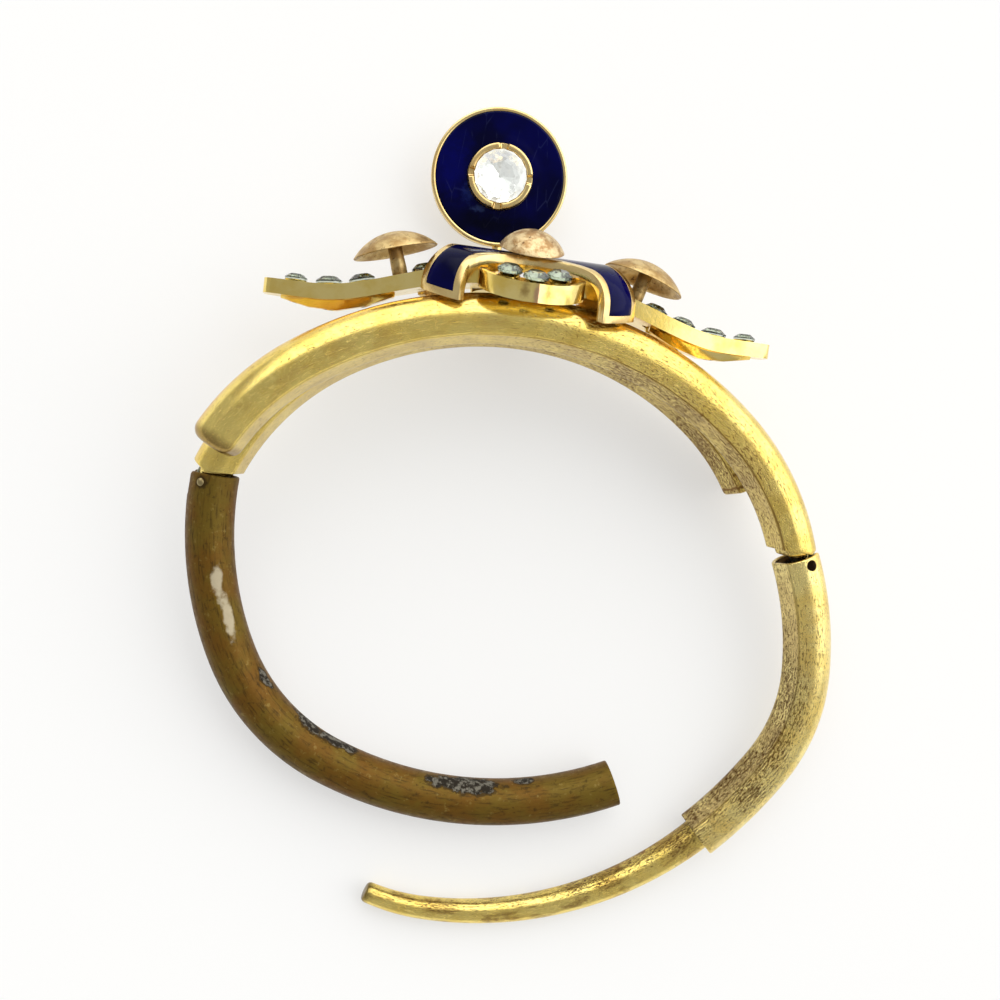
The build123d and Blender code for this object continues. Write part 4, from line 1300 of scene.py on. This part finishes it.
@dataclass(frozen=True)
class Flower:
    """Crests of leaves and saddle, and the places of all that stands on them, with the solids' sizes."""

    centre: tuple[float, float] = (-2.5, 28.55)
    roll: float = 1.4
    leaf_mean: float = 0.4
    leaf_wave: float = 2.05
    leaf_swell: float = 1.3
    leaf_flat_from: float = 22.0
    channel_depth: float = 0.55
    short_half: float = 10.2
    short_step: float = 0.15
    short_fall: float = 1.85
    short_swell: float = 1.6
    stone_lift: float = 0.38
    stone_radius: float = 1.36
    tip_stone_radius: float = 1.15
    petal_stone_radius: float = 1.3
    west_stones: tuple[float, ...] = (10.6, 16.9, 20.3, 23.7)
    east_stones: tuple[float, ...] = (14.0, 17.2, 20.7, 24.2)
    petal_stones: tuple[tuple[float, float], ...] = ((-2.5, 6.2), (0, 7.6), (2.5, 6.2))
    west_post_x: float = 13.1
    east_post_x: float = 11.6
    post_gap: float = 0.03
    saddle_top: float = 4.4
    saddle_crown: float = 10.0
    enamel_depth: float = 0.35
    small_dome_x: float = -0.1
    small_post_z: float = 2.1
    small_dome_lean: float = 9.0
    disc: tuple[float, float, float] = (-3.48, 13.34, -8.0)

    def axes(self) -> tuple[Array, Array, Array]:
        """Across, outward and forearm directions of the flower."""
        c, s = cos_sin(self.roll)
        return np.array([c, s, 0]), np.array([-s, c, 0]), np.array([0, 0, 1.0])

    def point(self, x: float, height: float, z: float) -> Array:
        """Point at x across, a height outward and z along the forearm, from the flower's middle."""
        across, outward, along = self.axes()
        return np.array([*self.centre, 0]) + across * x + outward * height + along * z

    def leaf_top(self, x: float) -> float:
        """Height of a long leaf's crest: a cosine wave of the distance, its start flattened by a power."""
        share = min(abs(x) / self.leaf_flat_from, 1) ** self.leaf_swell
        return self.leaf_mean + self.leaf_wave * np.cos(np.pi * share)

    def short_top(self, z: float) -> float:
        """Height of a short leaf's crest: half a cosine wave, its start flattened by a power."""
        share = min(abs(z) / self.short_half, 1) ** self.short_swell
        fall = self.short_fall * (1 - np.cos(np.pi * share)) / 2
        return self.leaf_mean + self.leaf_wave - self.short_step - fall

    def leaf_seat(self, x: float, drop: float) -> Seat:
        """Seat on the long leaf at x, sunk by the drop, its out axis square to the leaf.

        Args:
            x: distance along the leaf from the flower's middle.
            drop: depth below the crest, along the seat's out axis.

        Returns:
            The seat.
        """
        slope = np.arctan2(self.leaf_top(x + 0.01) - self.leaf_top(x - 0.01), 0.02)
        across, outward, _ = self.axes()
        along_leaf = across * np.cos(slope) + outward * np.sin(slope)
        out = outward * np.cos(slope) - across * np.sin(slope)
        return Seat(self.point(x, self.leaf_top(x), 0) - out * drop, along_leaf, np.cross(out, along_leaf), out)

    def petal_seat(self, x: float, z: float, drop: float) -> Seat:
        """Seat on a short leaf at x and z, sunk by the drop, its out axis square to the leaf.

        Args:
            x: distance across the leaf.
            z: distance along the leaf.
            drop: depth below the crest, along the seat's out axis.

        Returns:
            The seat.
        """
        slope = np.arctan2(self.short_top(z + 0.01) - self.short_top(z - 0.01), 0.02)
        across, outward, along = self.axes()
        out = outward * np.cos(slope) - along * np.sin(slope)
        return Seat(self.point(x, self.short_top(z), z) - out * drop, across, np.cross(out, across), out)

    def stone_seats(self) -> list[tuple[str, Seat, float]]:
        """Name, girdle seat and radius of every stone of the leaves."""
        drop, seats = -self.stone_lift, []
        for word, places, side in (("west", self.west_stones, -1), ("east", self.east_stones, 1)):
            for number, x in enumerate(places, 1):
                size = self.tip_stone_radius if number == len(places) else self.stone_radius
                seats.append((f"stone_{word}_{number}", self.leaf_seat(side * x, drop), size))
        for word, side in (("near", 1), ("far", -1)):
            for number, (x, z) in enumerate(self.petal_stones, 1):
                seat = self.petal_seat(x, side * z, drop)
                seats.append((f"stone_{word}_{number}", seat, self.petal_stone_radius))
        return seats

    def small_dome_seat(self) -> Seat:
        """Seat of the small dome's post on the crowned saddle."""
        tilt = np.arcsin(self.small_post_z / self.saddle_crown)
        across, outward, along = self.axes()
        top = self.saddle_top - self.saddle_crown * (1 - np.cos(tilt))
        out = outward * np.cos(tilt) + along * np.sin(tilt)
        seat = Seat(self.point(self.small_dome_x, top, self.small_post_z), across, np.cross(out, across), out)
        return seat.raised(self.post_gap - self.enamel_depth)

    def disc_seat(self) -> Seat:
        """Seat of the disc, its out axis towards the forearm's near side."""
        return Seat(self.point(*self.disc), *self.axes())


@dataclass(frozen=True)
class Dome:
    """Hollow cap on a post."""

    name: str
    node: str
    seat: Seat
    rise: float
    radius: float
    height: float
    post_radius: float
    lean: float = 0.0
    wall: float = 0.35

    def cap_rows(self) -> Array:
        """Profile of the cap: from its crown to the thin brim, and back under it to the middle."""
        ball = (self.radius ** 2 + self.height ** 2) / (2 * self.height)
        drop = ball - self.height
        outer = np.linspace(0.01, np.arccos(drop / ball), 28)
        inner = np.linspace(np.arccos(min(drop / (ball - self.wall), 1)) * 0.985, 0.01, 20)
        top, hollow = (np.stack([size * np.sin(a), size * np.cos(a) - drop], -1)
                       for size, a in ((ball, outer), (ball - self.wall, inner)))
        brim = np.array([(self.radius + 0.02, -0.05), (self.radius - 0.03, -0.10), (self.radius - 0.10, -0.07)])
        return np.concatenate([top, brim, hollow])

    def build(self, finishes: Finishes) -> None:
        """Builds the cap and its post as one piece.

        Args:
            finishes: the materials.
        """
        cap = turned(self.name, self.cap_rows(), self.seat.raised(self.rise).leaned(self.lean), 96)
        r, top = self.post_radius, self.rise + self.height - self.wall / 2
        rows = np.array([(0.02, 0), (r * 0.9, 0), (r, 0.1), (r, top * 0.3), (r * 0.92, top * 0.6), (r, top),
                         (0.02, top)])
        piece = joined(self.name, [cap, turned(f"{self.name}_post", rows, self.seat, 40)])
        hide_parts(self.node)
        dress(piece, Body.FRONT, Slot.DOMES, finishes.mottled_dome if self.lean else finishes.dome)


# Corner rings of a cut stone: first corner and number of corners, and the facets as a ring and a step each
CORNERS = {"table": (0, 8), "star": (8, 8), "girdle": (16, 16), "lower": (32, 16),
           "waist": (48, 8), "culet": (56, 8)}
CROWN_FACETS = (
    (("table", 0), ("star", 0), ("table", 1)),
    (("table", 0), ("star", -1), ("girdle", 0)),
    (("table", 0), ("girdle", 0), ("star", 0)),
    (("star", 0), ("girdle", 0), ("girdle", 1)),
    (("star", 0), ("girdle", 1), ("girdle", 2)),
)
PAVILION_FACETS = (
    (("waist", 0), ("lower", 1), ("lower", 0)),
    (("waist", 0), ("lower", 2), ("lower", 1)),
    (("waist", 0), ("lower", 0), ("culet", 0)),
    (("waist", 0), ("culet", 0), ("culet", 1)),
    (("waist", 0), ("culet", 1), ("lower", 2)),
)


@dataclass(frozen=True)
class CutStone:
    """Brilliant-cut stone: table, star, kite and girdle facets over a foiled pavilion."""

    name: str
    node: str
    seat: Seat
    radius: float
    crown: float
    depth: float
    table: float
    slot: Slot = Slot.STONES
    girdle: float = 0.11

    def corners(self) -> Array:
        """Corner rings: table, star points, girdle, lower girdle, pavilion's waist and culet."""
        eight, sixteen = np.arange(8) * np.pi / 4, np.arange(16) * np.pi / 8
        edge, star = self.girdle * self.radius, (self.radius * 0.42 + self.table * 0.58) * 1.02
        return np.concatenate([
            around(self.table, self.crown, eight),
            around(star, self.crown * 0.62, eight + np.pi / 8),
            around(self.radius, edge, sixteen),
            around(self.radius, -edge, sixteen),
            around(self.radius * 0.52, -self.depth * 0.55, eight + np.pi / 8),
            around(self.radius * 0.08, -self.depth, eight),
        ])

    def facets(self, rows: tuple[tuple[tuple[str, int], ...], ...]) -> list[list[int]]:
        """Corner numbers of the facets that repeat in each eighth of the stone."""
        eighth = np.arange(8)

        def corner(ring: str, step: int) -> Array:
            """Corner numbers on a ring, a step on from each eighth."""
            first, count = CORNERS[ring]
            return first + (eighth * (count // 8) + step) % count

        return np.concatenate([np.stack([corner(*place) for place in row], -1) for row in rows]).tolist()

    def build(self, finishes: Finishes) -> None:
        """Joins the corners by flat facets, glass above the girdle and foil below it.

        Args:
            finishes: the materials.
        """
        k = np.arange(16)
        wall = np.stack([16 + k, 32 + k, 32 + (k + 1) % 16, 16 + (k + 1) % 16], -1)
        front = self.facets(CROWN_FACETS) + wall.tolist() + [list(range(8))]
        back = self.facets(PAVILION_FACETS) + [list(range(63, 55, -1))]
        mesh = bpy.data.meshes.new(self.name)
        mesh.from_pydata(REST.lay(self.seat.place(self.corners())).tolist(), [], front + back)
        mesh.polygons.foreach_set("material_index", np.repeat([0, 1], [len(front), len(back)]).astype(np.int32))
        piece = settle(mesh, flat=True)
        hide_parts(self.node)
        clear = self.slot is Slot.CRYSTAL
        dress(piece, Body.FRONT, self.slot, *((finishes.paste, finishes.foil) if clear
                                              else (finishes.smoky, finishes.dull_foil)))


@dataclass(frozen=True)
class Disc:
    """Dished plate on a stalk: thin rim, notched bezel, ring of enamel and a crystal."""

    seat: Seat
    flower: Flower
    radius: float = 7.55
    thickness: float = 1.2
    rim: float = 0.45
    bezel_radius: float = 3.55
    bezel_height: float = 1.0
    bezel_wall: float = 0.6
    notch_half: float = 0.5
    notch_depth: float = 0.5
    notch_edge: float = 0.18
    enamel_depth: float = 0.35
    enamel_sag: float = 0.10
    edge: float = 0.12
    gap: float = 0.03
    stalk_radius: float = 0.55
    stalk: tuple[float, float] = (-2.8, -8.25)
    crystal_depth: float = 0.7
    crystal_crown: float = 0.65
    crystal_table: float = 1.5
    crystal_gap: float = 0.05

    def plate(self) -> Piece:
        """Plate, rim, floor and bezel as one turned shell, the bezel's lip cut by four notches.

        Returns:
            The plate.
        """
        half, edge, outer, bezel = self.thickness / 2, self.edge, self.radius, self.bezel_radius
        floor, well, foot = half - self.enamel_depth, outer - self.rim, bezel + self.gap
        lip, inner = half + self.bezel_height, bezel - self.bezel_wall
        rows = np.array([
            (0.02, -half), (outer - 2 * edge, -half), (outer - 0.5 * edge, -half + 0.4 * edge),
            (outer, -half + edge), (outer, half - edge), (outer - 0.4 * edge, half - 0.3 * edge),
            (outer - edge, half), (well + 0.05, half), (well, half - 0.05), (well, floor), (foot, floor),
            (foot, floor + 0.05), (bezel, half), (bezel, lip - edge), (bezel - 0.3 * edge, lip - 0.3 * edge),
            (bezel - edge, lip), (inner + edge, lip), (inner + 0.3 * edge, lip - 0.3 * edge),
            (inner, lip - edge), (inner, half), (0.02, half)])
        angles = np.linspace(0, FULL, 192, endpoint=False)
        radius, height = rows[:, :1], rows[:, 1:] + 0 * angles
        turn = np.abs((angles + np.pi / 4) % QUARTER - np.pi / 4) * bezel
        share = np.clip((self.notch_half - turn) / self.notch_edge + 0.5, 0, 1)
        lower = lip - self.notch_depth * share * share * (3 - 2 * share)
        height = np.where(radius < bezel + 0.01, np.minimum(height, np.maximum(lower, half)), height)
        runs = np.cumsum(np.hypot(*np.diff(rows, axis=0, prepend=rows[:1]).T))
        rings = self.seat.place(around(radius, height, angles))
        plate = Skin("disc_plate", rings, runs, angles * outer).build()
        plate.modifiers.new("clean_shading", "WEIGHTED_NORMAL").keep_sharp = True
        return plate

    def stem(self) -> Piece:
        """Stalk that stands on the far short leaf and holds the plate's rim."""
        foot = self.flower.short_top(self.stalk[1] + self.stalk_radius) + self.gap
        across, outward, along = self.flower.axes()
        top, r = self.flower.disc[1] - self.radius + self.rim - foot, self.stalk_radius
        rows = np.array([(0.02, 0), (r * 0.9, 0), (r, 0.1), (r, top), (0.02, top)])
        base = Seat(self.flower.point(self.stalk[0], foot, self.stalk[1]), across, -along, outward)
        return turned("disc_stalk", rows, base, 32)

    def enamel(self) -> Piece:
        """Ring of enamel between the rim and the bezel, its face sunk by a cosine squared across it."""
        half = self.thickness / 2
        low, outer = half - self.enamel_depth + self.gap, self.radius - self.rim - self.gap
        inner = self.bezel_radius + 2 * self.gap
        steps = np.linspace(0, 1, 24)
        sunk = self.enamel_sag * np.cos(np.pi * (2 * steps - 1) / 2) ** 2
        face = np.stack([outer + (inner - outer) * steps, half - sunk], -1)
        rows = np.concatenate([[(inner, low), (outer, low)], face])
        angles = np.linspace(0, FULL, 160, endpoint=False)
        rings = self.seat.place(around(rows[:, :1], rows[:, 1:], angles))
        return Skin("disc_enamel_finished", rings, rows[:, 0], angles * self.radius, ring=True).build()

    def build(self, finishes: Finishes) -> None:
        """Builds the plate, the enamel ring and the crystal.

        Args:
            finishes: the materials.
        """
        plate, enamel = joined("disc_plate", [self.plate(), self.stem()]), self.enamel()
        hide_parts("disc_dish")
        dress(plate, Body.FRONT, Slot.GOLD, finishes.rim)
        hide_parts("disc_enamel")
        dress(enamel, Body.FRONT, Slot.ENAMEL, finishes.disc_enamel)
        seat = self.seat.raised(self.thickness / 2 + self.crystal_gap + self.crystal_depth)
        CutStone("crystal", "disc_crystal", seat, self.bezel_radius - self.bezel_wall - self.crystal_gap,
                 self.crystal_crown, self.crystal_depth, self.crystal_table, Slot.CRYSTAL, 0.03).build(finishes)


@dataclass(frozen=True)
class Ornament:
    """Everything of the flower, built from its shared sizes."""

    flower: Flower = Flower()
    dome: tuple[float, float, float, float] = (3.15, 4.4, 2.0, 0.8)
    small_dome: tuple[float, float, float] = (3.35, 1.9, 0.6)
    small_lift: float = 0.61
    edge: float = 0.09

    def build(self, finishes: Finishes) -> None:
        """Builds leaves, saddle, domes, stones and disc.

        Args:
            finishes: the materials.
        """
        flower = self.flower
        for node, slot, finish in (("petal_cross", Slot.GOLD, finishes.leaf),
                                   ("saddle_frame", Slot.GOLD, finishes.rim),
                                   ("saddle_enamel", Slot.ENAMEL, finishes.enamel)):
            dress(softened(node, self.edge), Body.FRONT, slot, finish)
        foot = flower.channel_depth - flower.post_gap
        Dome("west_dome", "dome_west", flower.leaf_seat(-flower.west_post_x, foot), *self.dome).build(finishes)
        Dome("east_dome", "dome_east", flower.leaf_seat(flower.east_post_x, foot), *self.dome).build(finishes)
        Dome("near_dome", "dome_near", flower.small_dome_seat(), self.small_lift + flower.enamel_depth,
             *self.small_dome, flower.small_dome_lean).build(finishes)
        for node, seat, size in flower.stone_seats():
            CutStone(f"{node}_cut", node, seat, size, size * 0.42, size * 0.85, size * 0.60).build(finishes)
        Disc(flower.disc_seat(), flower).build(finishes)


# Stage


@dataclass(frozen=True)
class Studio:
    """Pale floor, soft light all round and the camera of the photograph."""

    floor_half: float = 3.0
    paper: Colour = (0.47, 0.47, 0.465)
    glow: float = 0.50
    eye: tuple[float, float, float] = (-16.2, 16.6, 118.0)
    aim: tuple[float, float, float] = (-1.9, 7.0, 0.0)
    tilt: float = 8.5
    lens: float = 36 * 1.117
    sky: float = 0.45
    window: float = 1.75
    window_toward: tuple[float, float, float] = (0.36, 0.64, 0.44)
    shade: float = 0.40
    horizon: float = 0.97
    dark_toward: tuple[float, float, float] = (-0.10, -0.16, 0.98)

    def floor(self, level: float) -> None:
        """Sheet of pale paper under the bangle, at a level in metres."""
        half = self.floor_half
        mesh = bpy.data.meshes.new("paper")
        corners = [(x, y, level) for x, y in ((-half, -half), (half, -half), (half, half), (-half, half))]
        mesh.from_pydata(corners, [], [(0, 1, 2, 3)])
        recipe = Recipe("pale_paper")
        clouds = recipe.noise(recipe.solid(), 6, 2, 0.5)
        mesh.materials.append(recipe.shade({
            "Base Color": recipe.blend(clouds, self.paper, tuple(c * 0.985 for c in self.paper)),
            "Roughness": 0.75, "Specular IOR Level": 0.1, "Emission Color": (1, 1, 0.995),
            "Emission Strength": self.glow}))
        linked(mesh)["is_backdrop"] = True

    def surroundings(self) -> None:
        """White room, brighter towards a window and darker overhead, where the camera is."""
        world = bpy.data.worlds.new("white_room")
        world.use_nodes = True
        room = Nodes(world.node_tree)
        way = room.node("ShaderNodeTexCoord", {}).outputs["Generated"]

        def lobe(toward: tuple[float, float, float], narrow: float, wide: float) -> Socket:
            """Smooth spot of the sky round a direction, 1 inside the narrow cosine and 0 past the wide one."""
            inputs = {0: way, 1: tuple(unit(np.array(toward)))}
            dot = room.node("ShaderNodeVectorMath", inputs, operation="DOT_PRODUCT")
            return room.ramp(dot.outputs["Value"], wide, narrow)

        clear = room.sums("SUBTRACT", 1.0, lobe(self.dark_toward, 0.90, 0.80))
        bright = room.times(lobe(self.window_toward, 0.60, 0.34), self.window)
        lit = room.times(room.plus(bright, self.sky - self.shade), clear)
        height = room.node("ShaderNodeSeparateXYZ", {"Vector": way}).outputs["Z"]
        haze = room.times(room.ramp(height, 0.22, 0.02), self.horizon)
        background = room.tree.nodes["Background"]
        room.feed(background.inputs["Strength"], room.most(room.plus(lit, self.shade), haze))
        room.feed(background.inputs["Color"], (1.0, 0.995, 0.98))
        bpy.context.scene.world = world

    def camera(self) -> None:
        """Camera at the photograph's angle, tipped with the band."""
        eye, (c, s) = np.array(self.eye), cos_sin(self.tilt)
        back = unit(eye - np.array(self.aim))
        right = unit(np.cross(np.array([-s, c, 0]), back))
        place = np.eye(4)
        place[:3, :3] = REST.matrix() @ np.stack([right, np.cross(back, right), back], -1)
        place[:3, 3] = REST.lay(eye)
        lens = bpy.data.cameras.new("camera")
        lens.sensor_width = 36
        lens.lens = self.lens
        lens.clip_start = MM
        camera = linked(lens)
        camera.matrix_world = Matrix(place.tolist())
        bpy.context.scene.camera = camera

    def build(self, level: float) -> None:
        """Sets the floor at a level in metres, the room, the camera and the plain view of colours."""
        self.floor(level)
        self.surroundings()
        self.camera()
        bpy.context.scene.view_settings.view_transform = "Standard"


def main() -> None:
    """Builds the bangle's looks piece by piece and sets the stage."""
    logging.basicConfig(level=logging.INFO, format="%(name)s: %(message)s")
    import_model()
    cad_box = [list(corner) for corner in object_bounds()]
    band = Band()
    finishes = Finishes(*(tube.route.length() for tube in (band.near_tube(), band.far_tube(), band.tongue())))
    band.build(finishes)
    Ornament().build(finishes)
    Studio().build(cad_box[0][2])


if __name__ == "__main__":
    main()
